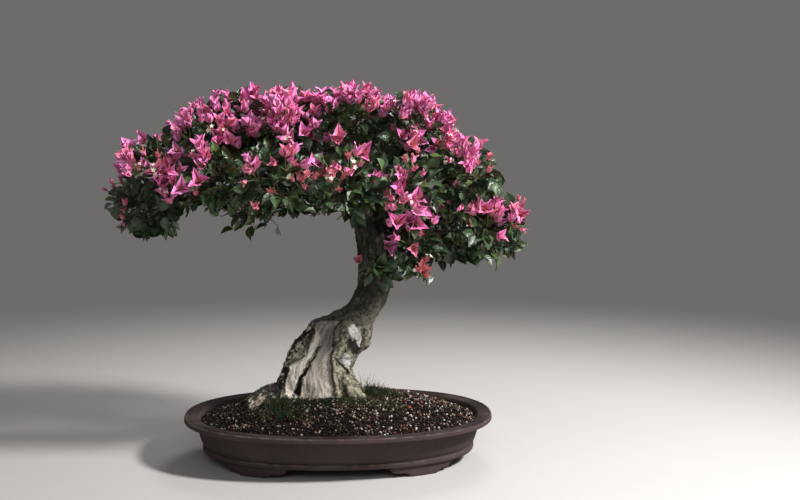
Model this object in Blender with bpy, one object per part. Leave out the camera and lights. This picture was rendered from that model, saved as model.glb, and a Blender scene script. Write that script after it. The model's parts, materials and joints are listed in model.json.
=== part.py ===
"""A bougainvillea bonsai in flower, in an oval unglazed pot with a turned-out lip and four cloud feet.

Metres, +Z up, the front towards -Y. The origin is on the table, under the middle of the whole tree.
The trunk rises from a mound of grit, leans right, turns back and carries a wide crown: leafy pads on
its limbs, and bunches of three-bract blooms that stand on the pads. Every place below is measured from
the pot's own middle, which is POT_X to the right of the origin, because the crown reaches further left.
"""

import math
import random

import bmesh
import bpy
from mathutils import Matrix, Vector
from mathutils.bvhtree import BVHTree

POT_X = 0.038  # the pot's middle, to the right of the origin
CLEAR = 0.0003  # the gap kept between two pieces that touch
UP = Vector((0, 0, 1))

# Pot: its rim outline is a superellipse, and the profile below is drawn inwards from that outline.
RIM_LENGTH = 0.600
RIM_DEPTH = 0.450
RIM_POWER = 2.25
RIM_SIDES = 28
POT_HEIGHT = 0.088
FOOT_HEIGHT = 0.020
FLOOR_HEIGHT = 0.0325
LIP_DROP = 0.010
POT_OUTSIDE = (  # inset from the rim outline, height above the table
    (0.0400, FOOT_HEIGHT),
    (0.0365, FOOT_HEIGHT + 0.0015),
    (0.0355, FOOT_HEIGHT + 0.0065),
    (0.0360, FOOT_HEIGHT + 0.0105),
    (0.0390, FOOT_HEIGHT + 0.0125),
    (0.0325, FOOT_HEIGHT + 0.0205),
    (0.0282, FOOT_HEIGHT + 0.0340),
    (0.0245, FOOT_HEIGHT + 0.0520),
    (0.0200, POT_HEIGHT - LIP_DROP - 0.0005),
    (0.0035, POT_HEIGHT - LIP_DROP),
    (0.0000, POT_HEIGHT - 0.0070),
    (0.0000, POT_HEIGHT - 0.0030),
    (0.0032, POT_HEIGHT),
)
POT_INSIDE = (
    (0.0265, POT_HEIGHT - 0.0008),
    (0.0295, POT_HEIGHT - 0.0050),
    (0.0330, POT_HEIGHT - 0.0180),
    (0.0400, 0.0500),
    (0.0500, 0.0385),
    (0.0640, FLOOR_HEIGHT),
)
FOOT_CENTRE = 0.162  # how far left and right of the pot's middle each foot stands
FOOT_OUTER = 0.0415
FOOT_INNER = 0.0850
FOOT_TOP = FOOT_HEIGHT + 0.004  # up inside the pot's wall, so that the two join
FOOT_EDGE = 0.003
# A foot's lobed underside, from its end to its middle: place along the foot, height.
FOOT_OUTLINE = ((-0.064, 0.0140), (-0.057, 0.0075), (-0.038, 0.0062), (-0.025, 0.0), (0.0, 0.0))
DRAIN_X = 0.115
DRAIN_RADIUS = 0.012
MESH_SIDE = 0.040
MESH_THICK = 0.0010
MESH_SLOT = 0.004
MESH_PITCH = 0.008

# Grit: a mound from just under the rim up to the foot of the trunk.
GRIT_EDGE = POT_HEIGHT - 0.012
GRIT_RISE = 0.050
GRIT_POWER = 2.4
GRIT_LUMP = 0.0012
GRIT_RINGS = (1.0, 0.90, 0.76, 0.62, 0.46)

# Trunk: level rings from the root to the first fork, each height, middle, half width and half depth.
TRUNK_SIDES = 16
TRUNK_Y = 0.015
TRUNK_RINGS = (
    (0.055, -0.036, 0.072, 0.052),
    (0.108, -0.038, 0.094, 0.068),
    (0.122, -0.039, 0.087, 0.062),
    (0.136, -0.040, 0.079, 0.056),
    (0.157, -0.043, 0.071, 0.051),
    (0.180, -0.040, 0.064, 0.048),
    (0.198, -0.027, 0.065, 0.046),
    (0.216, -0.010, 0.069, 0.045),
    (0.236, -0.003, 0.066, 0.043),
    (0.256, 0.006, 0.061, 0.041),
    (0.266, 0.011, 0.058, 0.039),
    (0.277, 0.030, 0.045, 0.036),
    (0.292, 0.049, 0.036, 0.033),
    (0.312, 0.062, 0.032, 0.031),
    (0.340, 0.072, 0.031, 0.030),
    (0.372, 0.0755, 0.034, 0.031),
    (0.404, 0.073, 0.033, 0.030),
    (0.439, 0.067, 0.032, 0.029),
    (0.465, 0.054, 0.028, 0.026),
    (0.489, 0.034, 0.022, 0.021),
)
FLARE = 0.10  # how far the root flares stand out at the soil, as a share of the radius
FLARE_TOP = 0.200
KNUCKLE = ((-0.105, 0.005, 0.118), (-0.138, -0.008, 0.120), (-0.162, -0.030, 0.107), (-0.174, -0.045, 0.078))
KNUCKLE_RADII = (0.026, 0.021, 0.019, 0.011)
SURFACE_ROOT = ((0.010, -0.020, 0.150), (0.034, -0.032, 0.126), (0.058, -0.038, 0.104))
SURFACE_ROOT_RADII = (0.018, 0.014, 0.008)
# Low ribs of living bark along the edges of the bare wood: x and height on the trunk's front face, radius.
BARK_RIBS = (
    ((-0.043, 0.262, 0.006), (-0.076, 0.222, 0.010), (-0.104, 0.168, 0.009), (-0.120, 0.122, 0.010)),
    ((0.008, 0.283, 0.007), (-0.008, 0.240, 0.009), (-0.012, 0.170, 0.010), (-0.002, 0.118, 0.010)),
    ((0.040, 0.250, 0.010), (0.030, 0.200, 0.009), (0.014, 0.165, 0.009), (0.028, 0.125, 0.010)),
)
RIB_SUNK = 0.003
CRACK_PROUD = 0.002
CRACK = ((-0.036, 0.222, 0.004), (-0.058, 0.178, 0.006), (-0.078, 0.140, 0.009), (-0.086, 0.122, 0.011))

# Crown: each leafy pad has a rough twiggy core. Middle, then the core's half sizes, then its leaves.
PADS = {
    "far_left": ((-0.364, 0.005, 0.492), (0.050, 0.068, 0.022), 23),
    "left_front": ((-0.332, -0.078, 0.566), (0.040, 0.040, 0.028), 18),
    "left_back": ((-0.322, 0.082, 0.566), (0.040, 0.042, 0.028), 16),
    "mid_left_front": ((-0.228, -0.132, 0.550), (0.042, 0.038, 0.034), 18),
    "mid_left_top": ((-0.222, 0.000, 0.622), (0.052, 0.058, 0.026), 21),
    "mid_left_back": ((-0.225, 0.130, 0.552), (0.042, 0.040, 0.034), 16),
    "left_under": ((-0.165, 0.000, 0.486), (0.056, 0.060, 0.018), 18),
    "centre_left_front": ((-0.108, -0.160, 0.548), (0.044, 0.034, 0.036), 19),
    "centre_left_top": ((-0.100, 0.000, 0.642), (0.052, 0.080, 0.026), 22),
    "centre_left_back": ((-0.112, 0.154, 0.554), (0.044, 0.036, 0.034), 16),
    "centre_front": ((0.012, -0.155, 0.544), (0.042, 0.034, 0.036), 19),
    "centre_top": ((0.026, 0.000, 0.650), (0.048, 0.058, 0.026), 20),
    "centre_back": ((0.010, 0.151, 0.564), (0.042, 0.038, 0.034), 16),
    "centre_right_front": ((0.122, -0.138, 0.532), (0.040, 0.034, 0.036), 19),
    "centre_right_top": ((0.144, -0.005, 0.630), (0.048, 0.058, 0.028), 20),
    "centre_right_back": ((0.128, 0.140, 0.560), (0.042, 0.038, 0.034), 16),
    "right_front": ((0.236, -0.075, 0.554), (0.038, 0.040, 0.030), 18),
    "right_back": ((0.236, 0.075, 0.556), (0.038, 0.042, 0.030), 15),
    "low_right_end": ((0.292, -0.040, 0.440), (0.034, 0.048, 0.022), 19),
    "low_right_middle": ((0.206, 0.022, 0.432), (0.032, 0.052, 0.022), 18),
    "low_right_inner": ((0.142, -0.076, 0.408), (0.028, 0.026, 0.020), 14),
    "neck": ((0.080, -0.054, 0.378), (0.013, 0.011, 0.011), 9),
}
CORE_ROUGHNESS = 0.16
# Limbs: where each starts in the wood, the way it sets out, its radius there and the pad that it feeds.
MAIN_LIMBS = (
    (((0.040, 0.014, 0.482), (-0.020, 0.010, 0.516), (-0.110, 0.004, 0.534), (-0.200, 0.002, 0.540),
      (-0.272, 0.004, 0.528)), (0.022, 0.018, 0.014, 0.010, 0.006)),
    (((0.036, 0.014, 0.484), (0.018, 0.012, 0.530), (0.016, 0.008, 0.580)), (0.017, 0.012, 0.007)),
    (((0.066, 0.012, 0.436), (0.096, 0.008, 0.482), (0.130, 0.004, 0.526), (0.170, 0.002, 0.550)),
     (0.020, 0.015, 0.011, 0.006)),
    (((0.074, 0.008, 0.398), (0.116, 0.000, 0.412), (0.150, -0.022, 0.424), (0.210, -0.040, 0.450)),
     (0.016, 0.011, 0.008, 0.005)),
)
BRANCHES = (
    ((-0.262, 0.004, 0.530), 0.0055, "far_left"),
    ((-0.240, 0.003, 0.535), 0.0050, "left_front"),
    ((-0.236, 0.003, 0.535), 0.0050, "left_back"),
    ((-0.170, 0.003, 0.538), 0.0065, "mid_left_front"),
    ((-0.190, 0.002, 0.540), 0.0060, "mid_left_top"),
    ((-0.165, 0.003, 0.538), 0.0065, "mid_left_back"),
    ((-0.120, 0.004, 0.534), 0.0060, "left_under"),
    ((-0.060, 0.008, 0.525), 0.0070, "centre_left_front"),
    ((-0.070, 0.006, 0.528), 0.0070, "centre_left_top"),
    ((-0.055, 0.008, 0.524), 0.0070, "centre_left_back"),
    ((0.018, 0.011, 0.535), 0.0070, "centre_front"),
    ((0.016, 0.008, 0.572), 0.0065, "centre_top"),
    ((0.018, 0.011, 0.538), 0.0070, "centre_back"),
    ((0.100, 0.008, 0.487), 0.0070, "centre_right_front"),
    ((0.128, 0.004, 0.522), 0.0070, "centre_right_top"),
    ((0.102, 0.008, 0.490), 0.0070, "centre_right_back"),
    ((0.150, 0.003, 0.540), 0.0060, "right_front"),
    ((0.152, 0.003, 0.541), 0.0060, "right_back"),
    ((0.195, -0.036, 0.444), 0.0045, "low_right_end"),
    ((0.138, -0.014, 0.420), 0.0050, "low_right_middle"),
    ((0.120, -0.002, 0.413), 0.0050, "low_right_inner"),
    ((0.076, 0.000, 0.352), 0.0040, "neck"),
)
LIMB_SIDES = 6
ROOT_SIDES = 7
RIB_SIDES = 5
BRANCH_SIDES = 4
BRANCH_STEPS = 3
BRANCH_TIP = 0.0022
CROWN_MIDDLE = Vector((-0.030, 0.000, 0.520))

# Leaves: a pointed oval blade on a stalk, drawn out of one face of the core.
LEAF_LENGTH = 0.037
LEAF_WIDTH = 0.026
LEAF_THICK = 0.0010
LEAF_WIDEST = 0.38
LEAF_SIZES = (0.86, 1.12)
LEAF_LIFT = (0.25, 0.85)  # how far a blade leans out the way that its face of the core does
LEAF_TRIES = 9  # each a little smaller than the one before
LEAF_SHRINK = 0.035
STALK_RADIUS = 0.0014
STALK_LENGTH = (0.013, 0.024)
BLADE_MARGIN = 0.0012  # kept free round a new leaf, and half as much over it
TURNED_IN = -0.75  # a face that looks this squarely at the crown's middle bears no leaf

# Blooms: three papery bracts round the end of a thin stalk, in bunches: pad, way out of it, number.
KNOT_OUT = (0.006, 0.010)  # from the core to the fork of the bunch: squarely out, then its own way
KNOT_RADIUS = 0.0045
BLOOM_STALK = 0.020
BLOOM_REACH = (0.80, 1.15)
BLOOM_WOBBLE = 0.25
BLOOM_TRIES = 12
BLOOM_SHRINK = 0.03
BLOOM_EYE = 0.0020  # radius of the stalk's end, where the bracts start
BLOOM_EYE_HEIGHT = 0.0035
FACES_APART = (0.95, 0.70, 0.50)  # how far apart the faces with blooms look, first choice first
BRACT_LENGTH = 0.029
BRACT_WIDTH = 0.021
BRACT_THICK = 0.0009
BRACT_WIDEST = 0.42
BRACT_SIZES = (0.9, 1.1)
BRACT_LEAN = (0.50, 0.80)
BUNCHES = (
    ("left_front", (-0.75, -0.7, 0.35), 4),
    ("left_front", (0.1, -1.0, 0.35), 5),
    ("left_front", (0.8, -0.9, -0.45), 5),
    ("mid_left_front", (-0.35, -0.9, 0.55), 5),
    ("mid_left_top", (-0.95, -0.3, 0.35), 4),
    ("mid_left_top", (0.0, -0.2, 1.0), 6),
    ("mid_left_top", (0.15, -1.0, 0.25), 5),
    ("centre_left_top", (-0.1, -0.35, 1.0), 6),
    ("centre_left_top", (0.1, -1.0, 0.15), 5),
    ("centre_left_front", (0.35, -0.7, 0.75), 6),
    ("centre_left_front", (-0.8, -0.8, 0.2), 4),
    ("centre_left_front", (0.95, -0.9, 0.10), 4),
    ("centre_top", (0.1, -0.2, 1.0), 6),
    ("centre_front", (0.05, -0.65, 0.8), 5),
    ("centre_front", (-0.35, -1.0, 0.25), 3),
    ("centre_right_top", (0.0, -0.15, 1.0), 6),
    ("centre_right_top", (0.75, -0.8, 0.0), 5),
    ("centre_right_front", (0.15, -0.75, 0.7), 5),
    ("centre_right_front", (-0.25, -0.95, -0.4), 5),
    ("right_front", (-0.1, -0.7, 0.75), 5),
    ("right_front", (0.45, -0.9, 0.0), 3),
    ("low_right_inner", (-0.1, -0.6, 0.8), 4),
    ("low_right_inner", (0.3, -0.8, -0.6), 3),
    ("low_right_middle", (0.1, -0.6, 0.8), 4),
    ("low_right_end", (-0.25, -0.7, 0.7), 5),
    ("low_right_end", (0.9, -0.2, 0.45), 4),
    ("mid_left_back", (-0.3, 0.8, 0.6), 5),
    ("centre_left_top", (0.0, 0.75, 0.7), 5),
    ("centre_back", (0.1, 0.75, 0.7), 5),
    ("centre_right_back", (0.2, 0.8, 0.6), 5),
    ("right_back", (0.4, 0.7, 0.6), 4),
    ("centre_left_back", (0.0, 0.9, 0.35), 4),
    ("left_back", (-0.5, 0.7, 0.6), 4),
)
YOUNG_BUNCHES = (12, 15, 23, 32)  # still opening, more coral than magenta

COLOURS = {  # linear red, green and blue, then roughness
    "clay": ((0.052, 0.038, 0.034), 0.75),
    "drain_mesh": ((0.020, 0.022, 0.022), 0.55),
    "grit": ((0.060, 0.045, 0.038), 0.95),
    "bark": ((0.120, 0.100, 0.078), 0.90),
    "leaf": ((0.022, 0.052, 0.018), 0.40),
    "bract": ((0.600, 0.060, 0.300), 0.60),
    "young_bract": ((0.560, 0.090, 0.130), 0.60),
}


def clear_scene():
    for thing in list(bpy.data.objects):
        bpy.data.objects.remove(thing, do_unlink=True)


def material(name):
    made = bpy.data.materials.get(name)
    if made is None:
        colour, roughness = COLOURS[name]
        made = bpy.data.materials.new(name)
        made.use_nodes = True
        shader = made.node_tree.nodes["Principled BSDF"]
        shader.inputs["Base Color"].default_value = (*colour, 1)
        shader.inputs["Roughness"].default_value = roughness
        shader.inputs["Metallic"].default_value = 0.0
    return made


def mesh_object(name, points, faces, finish, smooth=False):
    """An object from points measured from the pot's middle, with its origin there."""
    mesh = bpy.data.meshes.new(name)
    mesh.from_pydata([tuple(point) for point in points], [], faces)
    mesh.materials.append(material(finish))
    made = bpy.data.objects.new(name, mesh)
    made.location.x = POT_X
    bpy.context.scene.collection.objects.link(made)
    if smooth:
        mesh.shade_smooth()
        mesh.set_sharp_from_angle(angle=math.radians(35))
    return made


def combine(target, operation, others):
    """Applies one Boolean of the other objects to the target, then removes them."""
    group = bpy.data.collections.new(target.name + "_operands")
    for other in others:
        group.objects.link(other)
    boolean = target.modifiers.new("combine", "BOOLEAN")
    boolean.operation = operation
    boolean.operand_type = "COLLECTION"
    boolean.collection = group
    bpy.context.view_layer.update()
    graph = bpy.context.evaluated_depsgraph_get()
    result = bpy.data.meshes.new_from_object(target.evaluated_get(graph))
    target.modifiers.clear()
    target.data = result
    for other in others:
        bpy.data.objects.remove(other, do_unlink=True)
    bpy.data.collections.remove(group)


def stack(rings):
    """Points and faces of a closed solid through rings that all have the same number of points."""
    count = len(rings[0])
    points = [point for ring in rings for point in ring]
    faces = [tuple(reversed(range(count)))]
    for level in range(len(rings) - 1):
        low = level * count
        high = low + count
        for i in range(count):
            j = (i + 1) % count
            faces += [(low + i, low + j, high + j), (low + i, high + j, high + i)]
    last = (len(rings) - 1) * count
    faces.append(tuple(range(last, last + count)))
    return points, faces


def smooth_path(knots, steps):
    """Points along a Catmull-Rom curve through the knots, and the share of the way at each."""
    knots = [Vector(knot) for knot in knots]
    ends = [knots[0] * 2 - knots[1]] + knots + [knots[-1] * 2 - knots[-2]]
    path = []
    for i in range(1, len(ends) - 2):
        a, b, c, d = ends[i - 1:i + 3]
        for step in range(steps):
            t = step / steps
            path.append(0.5 * (2 * b + (c - a) * t + (2 * a - 5 * b + 4 * c - d) * t * t
                               + (3 * b - a - 3 * c + d) * t ** 3))
    return path + [knots[-1]]


def along(values, share):
    """The value at a share of the way along a list, by straight lines between its entries."""
    place = share * (len(values) - 1)
    i = min(int(place), len(values) - 2)
    return values[i] + (values[i + 1] - values[i]) * (place - i)


def tube(path, radii, sides, pointed_at=None):
    """A closed tube along a path, its end drawn to a point if one is given."""
    rings = []
    side = None
    for i, middle in enumerate(path):
        way = (path[min(i + 1, len(path) - 1)] - path[max(i - 1, 0)]).normalized()
        if side is None:
            side = way.orthogonal().normalized()
        side = (side - way * side.dot(way)).normalized()
        other = way.cross(side)
        radius = along(radii, i / (len(path) - 1))
        turn = [2 * math.pi * k / sides for k in range(sides)]
        rings.append([middle + (side * math.cos(a) + other * math.sin(a)) * radius for a in turn])
    points, faces = stack(rings)
    if pointed_at is not None:
        end = faces.pop()
        points.append(pointed_at)
        faces += [(end[k], end[(k + 1) % sides], len(points) - 1) for k in range(sides)]
    return points, faces


# Pot, drain mesh and grit


def rim_point(angle, inset, height, share=1.0):
    """A point on the pot's oval, drawn in by an inset and then to a share of its size."""
    c = math.cos(angle)
    s = math.sin(angle)
    x = math.copysign(abs(c) ** (2 / RIM_POWER), c) * (RIM_LENGTH / 2 - inset) * share
    y = math.copysign(abs(s) ** (2 / RIM_POWER), s) * (RIM_DEPTH / 2 - inset) * share
    return Vector((x, y, height))


def oval_ring(inset, height, share=1.0):
    return [rim_point(2 * math.pi * i / RIM_SIDES, inset, height, share) for i in range(RIM_SIDES)]


def make_foot(x_side, y_side):
    """One cloud foot, bent along the oval of the base, with its lobed outline below."""
    outline = FOOT_OUTLINE + tuple((-place, height) for place, height in reversed(FOOT_OUTLINE[:-1]))
    corner = math.atan2(y_side, x_side)
    base_angle = min(
        (corner + math.radians(turn) for turn in range(-44, 45)),
        key=lambda angle: abs(abs(rim_point(angle, FOOT_OUTER, 0).x) - FOOT_CENTRE),
    )
    small_turn = 0.01
    step = rim_point(base_angle + small_turn, FOOT_OUTER, 0) - rim_point(base_angle, FOOT_OUTER, 0)
    rings = []
    for place, height in outline:
        angle = base_angle + place * small_turn / step.length
        rings.append([
            rim_point(angle, FOOT_OUTER, FOOT_TOP),
            rim_point(angle, FOOT_INNER, FOOT_TOP),
            rim_point(angle, FOOT_INNER, height),
            rim_point(angle, FOOT_OUTER + FOOT_EDGE, height),
            rim_point(angle, FOOT_OUTER, height + FOOT_EDGE),
        ])
    points, faces = stack(rings)
    return mesh_object("foot", points, [tuple(reversed(face)) for face in faces], "clay")


def round_cutter(x, radius, low, high):
    """A plain upright cylinder to cut with."""
    made = bmesh.new()
    bmesh.ops.create_cone(made, cap_ends=True, segments=16, radius1=radius, radius2=radius, depth=high - low)
    mesh = bpy.data.meshes.new("cutter")
    made.to_mesh(mesh)
    made.free()
    cutter = bpy.data.objects.new("cutter", mesh)
    cutter.location = (POT_X + x, 0, (low + high) / 2)
    bpy.context.scene.collection.objects.link(cutter)
    return cutter


def make_pot():
    rings = [oval_ring(inset, height) for inset, height in POT_OUTSIDE + POT_INSIDE]
    points, faces = stack(rings)
    pot = mesh_object("pot", points, faces, "clay", smooth=True)
    combine(pot, "UNION", [make_foot(x, y) for x in (-1, 1) for y in (-1, 1)])
    holes = [round_cutter(x, DRAIN_RADIUS, 0.0, FLOOR_HEIGHT + 0.01) for x in (-DRAIN_X, DRAIN_X)]
    combine(pot, "DIFFERENCE", holes)


def box(name, middle, size, finish):
    """A box by its middle and its full sizes."""
    low = [m - s / 2 for m, s in zip(middle, size)]
    high = [m + s / 2 for m, s in zip(middle, size)]
    ring = ((low[0], low[1]), (high[0], low[1]), (high[0], high[1]), (low[0], high[1]))
    points, faces = stack([[Vector((x, y, z)) for x, y in ring] for z in (low[2], high[2])])
    return mesh_object(name, points, faces, finish)


def make_drain_mesh(name, x):
    """The square of plastic mesh that keeps the grit in over a drain hole."""
    bottom = FLOOR_HEIGHT + CLEAR
    middle = (x, 0, bottom + MESH_THICK / 2)
    sheet = box(name, middle, (MESH_SIDE, MESH_SIDE, MESH_THICK), "drain_mesh")
    slots = []
    for column in (-1, 0, 1):
        place = (x + column * MESH_PITCH, 0, middle[2])
        slots.append(box("slot", place, (MESH_SLOT, 2 * DRAIN_RADIUS, MESH_THICK * 4), "drain_mesh"))
    combine(sheet, "DIFFERENCE", slots)


def grit_height(x, y):
    """The mound: GRIT_EDGE at the pot's wall, GRIT_RISE higher under the trunk."""
    half_length = RIM_LENGTH / 2 - POT_INSIDE[1][0]
    half_depth = RIM_DEPTH / 2 - POT_INSIDE[1][0]
    share = math.hypot(x / half_length, y / half_depth)
    return GRIT_EDGE + GRIT_RISE * max(0.0, 1 - share ** GRIT_POWER)


def make_grit(root_holes):
    """The mound of grit, fitted to the pot's inside, with a plain hole for the trunk's root."""
    lumps = random.Random(4)
    off_wall = CLEAR * 1.5
    profile = [(inset, height) for inset, height in reversed(POT_INSIDE) if height < GRIT_EDGE]
    rings = [oval_ring(inset + off_wall, height + CLEAR) for inset, height in profile]
    (high_inset, high), (low_inset, low) = POT_INSIDE[1:3]
    edge_inset = low_inset + (high_inset - low_inset) * (GRIT_EDGE - low) / (high - low) + off_wall
    for share in GRIT_RINGS:
        ring = oval_ring(edge_inset, 0, share)
        for point in ring:
            point.z = grit_height(point.x, point.y)
            if share < 1:
                point.z += lumps.uniform(-GRIT_LUMP, GRIT_LUMP)
        rings.append(ring)
    points, faces = stack(rings)
    grit = mesh_object("grit", points, faces, "grit")
    recess = MESH_SIDE + 4 * CLEAR
    depth = MESH_THICK + 3 * CLEAR
    cutters = [box("recess", (x, 0, FLOOR_HEIGHT + depth / 2), (recess, recess, depth), "grit")
               for x in (-DRAIN_X, DRAIN_X)]
    combine(grit, "DIFFERENCE", cutters + root_holes)


# Trunk and limbs


def trunk_row(height):
    """Middle, half width and half depth of the trunk at a height."""
    rows = TRUNK_RINGS
    i = max(k for k in range(len(rows) - 1) if rows[k][0] <= max(height, rows[0][0]))
    share = min(1.0, max(0.0, (height - rows[i][0]) / (rows[i + 1][0] - rows[i][0])))
    return [rows[i][k] + (rows[i + 1][k] - rows[i][k]) * share for k in (1, 2, 3)]


def on_front(x, height, sunk):
    """The point of the trunk's front face at x and height, sunk into the wood."""
    middle, half_width, half_depth = trunk_row(height)
    across = max(-0.97, min(0.97, (x - middle) / half_width))
    return Vector((x, TRUNK_Y - half_depth * math.sqrt(1 - across * across) + sunk, height))


def trunk_ring(height, middle, half_width, half_depth, wider):
    """One level ring of the trunk, with the root flares standing out near the soil."""
    flare = FLARE * max(0.0, min(1.0, (FLARE_TOP - height) / (FLARE_TOP - TRUNK_RINGS[1][0])))
    ring = []
    for k in range(TRUNK_SIDES):
        angle = 2 * math.pi * k / TRUNK_SIDES
        swell = 1 + flare * math.cos(5 * angle + 0.6)
        x = middle + (half_width * swell + wider) * math.cos(angle)
        y = TRUNK_Y + (half_depth * swell + wider) * math.sin(angle)
        ring.append(Vector((x, y, height)))
    return ring


def root_parts(name, rows, wider):
    """The stock of the trunk, the knuckle at its left and the surface root at its right."""
    rows = [(rows[0][0] - wider, *rows[0][1:])] + list(rows[1:])
    parts = [stack([trunk_ring(*row, wider) for row in rows])]
    for knots, radii in ((KNUCKLE, KNUCKLE_RADII), (SURFACE_ROOT, SURFACE_ROOT_RADII)):
        path = smooth_path(knots, 2)
        path[-1] += (path[-1] - path[-2]).normalized() * wider
        parts.append(tube(path, [radius + wider for radius in radii], ROOT_SIDES))
    return [mesh_object(name, points, faces, "bark") for points, faces in parts]


def make_root_holes():
    """Cutters for the grit: the same root and ribs a little wider, up to well above the mound."""
    rows = [row for row in TRUNK_RINGS if row[0] < FLARE_TOP]
    wider = CLEAR * 1.7
    return root_parts("root_hole", rows, wider) + [front_rib(knots, RIB_SUNK, wider) for knots in BARK_RIBS]


def front_rib(knots, sunk, wider=0.0):
    """A slim tube along the trunk's front face, through places given as x, height and radius."""
    path = smooth_path([on_front(x, height, sunk) for x, height, _ in knots], 2)
    path[-1] += (path[-1] - path[-2]).normalized() * wider
    points, faces = tube(path, [radius + wider for _, _, radius in knots], RIB_SIDES)
    return mesh_object("rib", points, faces, "bark")


def branch_path(start, face_middle, face_normal):
    """A curve from the limb to just clear of a core's face, meeting it squarely."""
    reach = (face_middle - start).length
    tip = face_middle + face_normal * CLEAR
    near_tip = tip + face_normal * reach * 0.35
    leave = start.lerp(near_tip, 0.45) + UP * reach * 0.08
    path = []
    for step in range(BRANCH_STEPS):
        t = step / BRANCH_STEPS
        path.append(start * (1 - t) ** 3 + leave * 3 * t * (1 - t) ** 2
                    + near_tip * 3 * t * t * (1 - t) + tip * t ** 3)
    return path, tip


def make_trunk(cores):
    """Stock, roots, bark ribs, limbs and branches, joined into the one piece that they grew as."""
    stock, *others = root_parts("trunk", TRUNK_RINGS, 0.0)
    others += [front_rib(knots, RIB_SUNK) for knots in BARK_RIBS]
    for knots, radii in MAIN_LIMBS:
        points, faces = tube(smooth_path(knots, 2), radii, LIMB_SIDES)
        others.append(mesh_object("limb", points, faces, "bark"))
    for start, radius, pad in BRANCHES:
        start = Vector(start)
        face = cores[pad].nearest_face(start)
        path, tip = branch_path(start, cores[pad].middle(face), cores[pad].normal(face))
        cores[pad].used.add(face)
        points, faces = tube(path, (radius, BRANCH_TIP), BRANCH_SIDES, pointed_at=tip)
        others.append(mesh_object("branch", points, faces, "bark"))
    combine(stock, "UNION", others)
    combine(stock, "DIFFERENCE", [front_rib(CRACK, -CRACK_PROUD)])
    stock.data.shade_smooth()
    stock.data.set_sharp_from_angle(angle=math.radians(40))
    return stock


# Leaves and blooms


class Growth:
    """A closed body of triangles that grows by drawing out its faces."""

    def __init__(self, points, faces):
        self.points = [Vector(point) for point in points]
        self.faces = [tuple(face) for face in faces]
        self.used = set()

    def corners(self, face):
        return [self.points[i] for i in self.faces[face]]

    def middle(self, face):
        return sum(self.corners(face), Vector()) / 3

    def normal(self, face):
        a, b, c = self.corners(face)
        return (b - a).cross(c - a).normalized()

    def nearest_face(self, place):
        free = [face for face in range(len(self.faces)) if face not in self.used]
        return min(free, key=lambda face: (self.middle(face) - place).length)

    def draw_out(self, face, ring):
        """Moves a face out to a ring of three points, with walls behind it."""
        old = self.faces[face]
        first = len(self.points)
        self.points += ring
        new = (first, first + 1, first + 2)
        self.faces[face] = new
        for i in range(3):
            j = (i + 1) % 3
            self.faces += [(old[i], old[j], new[j]), (old[i], new[j], new[i])]

    def draw_to_point(self, face, tip):
        a, b, c = self.faces[face]
        self.points.append(tip)
        last = len(self.points) - 1
        self.faces[face] = (a, b, last)
        self.faces += [(b, c, last), (c, a, last)]


def rough_ball(middle, half_sizes, subdivisions, rng, roughness):
    """A faceted ball with uneven points, as a body to grow from."""
    made = bmesh.new()
    bmesh.ops.create_icosphere(made, subdivisions=subdivisions, radius=1.0)
    points = []
    for vertex in made.verts:
        stretch = 1 + rng.uniform(-roughness, roughness)
        points.append(Vector(middle) + Vector(c * h * stretch for c, h in zip(vertex.co, half_sizes)))
    faces = [[vertex.index for vertex in face.verts] for face in made.faces]
    made.free()
    return Growth(points, faces)


class Space:
    """What already stands in the crown, to keep each new blade clear of it."""

    def __init__(self):
        self.trees = []

    def add(self, points, faces, owner=None):
        low = [min(point[k] for point in points) for k in range(3)]
        high = [max(point[k] for point in points) for k in range(3)]
        self.trees.append((low, high, BVHTree.FromPolygons(points, faces), owner))

    def is_clear(self, points, faces, ignore=None):
        low = [min(point[k] for point in points) for k in range(3)]
        high = [max(point[k] for point in points) for k in range(3)]
        tree = None
        for other_low, other_high, other, owner in self.trees:
            apart = any(low[k] > other_high[k] or high[k] < other_low[k] for k in range(3))
            if apart or (owner is not None and owner is ignore):
                continue
            if tree is None:
                tree = BVHTree.FromPolygons(points, faces)
            if tree.overlap(other):
                return False
        return True


def blade_rings(ring, way, length, width, thick, widest):
    """The widest ring and the tip of a blade whose first ring is (left, right, middle of its outer face)."""
    left, right, ridge = ring
    start = (left + right + ridge) / 3
    across = (right - left)
    across = (across - way * across.dot(way)).normalized()
    outward = way.cross(across)
    if outward.dot(ridge - (left + right) / 2) < 0:
        outward = -outward
    wide = start + way * length * widest
    broad = [wide - across * width / 2, wide + across * width / 2, wide + outward * thick]
    return broad, start + way * length


def walls(rings, tip):
    """Triangles through rings of three points and on to a tip, open at the start."""
    points = [point for ring in rings for point in ring] + [tip]
    faces = []
    for level in range(len(rings) - 1):
        for i in range(3):
            j = (i + 1) % 3
            a, b, c, d = level * 3 + i, level * 3 + j, level * 3 + 3 + j, level * 3 + 3 + i
            faces += [(a, b, c), (a, c, d)]
    last = len(rings) * 3 - 3
    faces += [(last + i, last + (i + 1) % 3, len(points) - 1) for i in range(3)]
    return points, faces


def hanging_way(normal, outward, rng):
    """A way across a face of the core, mostly down and out from the crown."""
    hang = Vector((rng.uniform(-0.8, 0.8), rng.uniform(-0.8, 0.8), rng.uniform(-1.1, 0.3)))
    hang += outward * 0.5
    return (hang - normal * hang.dot(normal)).normalized()


def stalk_end(core, face, foot, hang):
    """Three points round the end of a stalk, in the order of the face's corners, and the one behind."""
    middle = core.middle(face)
    normal = core.normal(face)
    away = [(corner - middle).normalized() for corner in core.corners(face)]
    behind = min(range(3), key=lambda i: away[i].dot(hang))
    turn = away[behind].cross(-hang).dot(normal)
    spin = Matrix.Rotation(math.asin(max(-0.87, min(0.87, turn))), 3, normal)
    return [foot + (spin @ way) * STALK_RADIUS for way in away], behind


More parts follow.
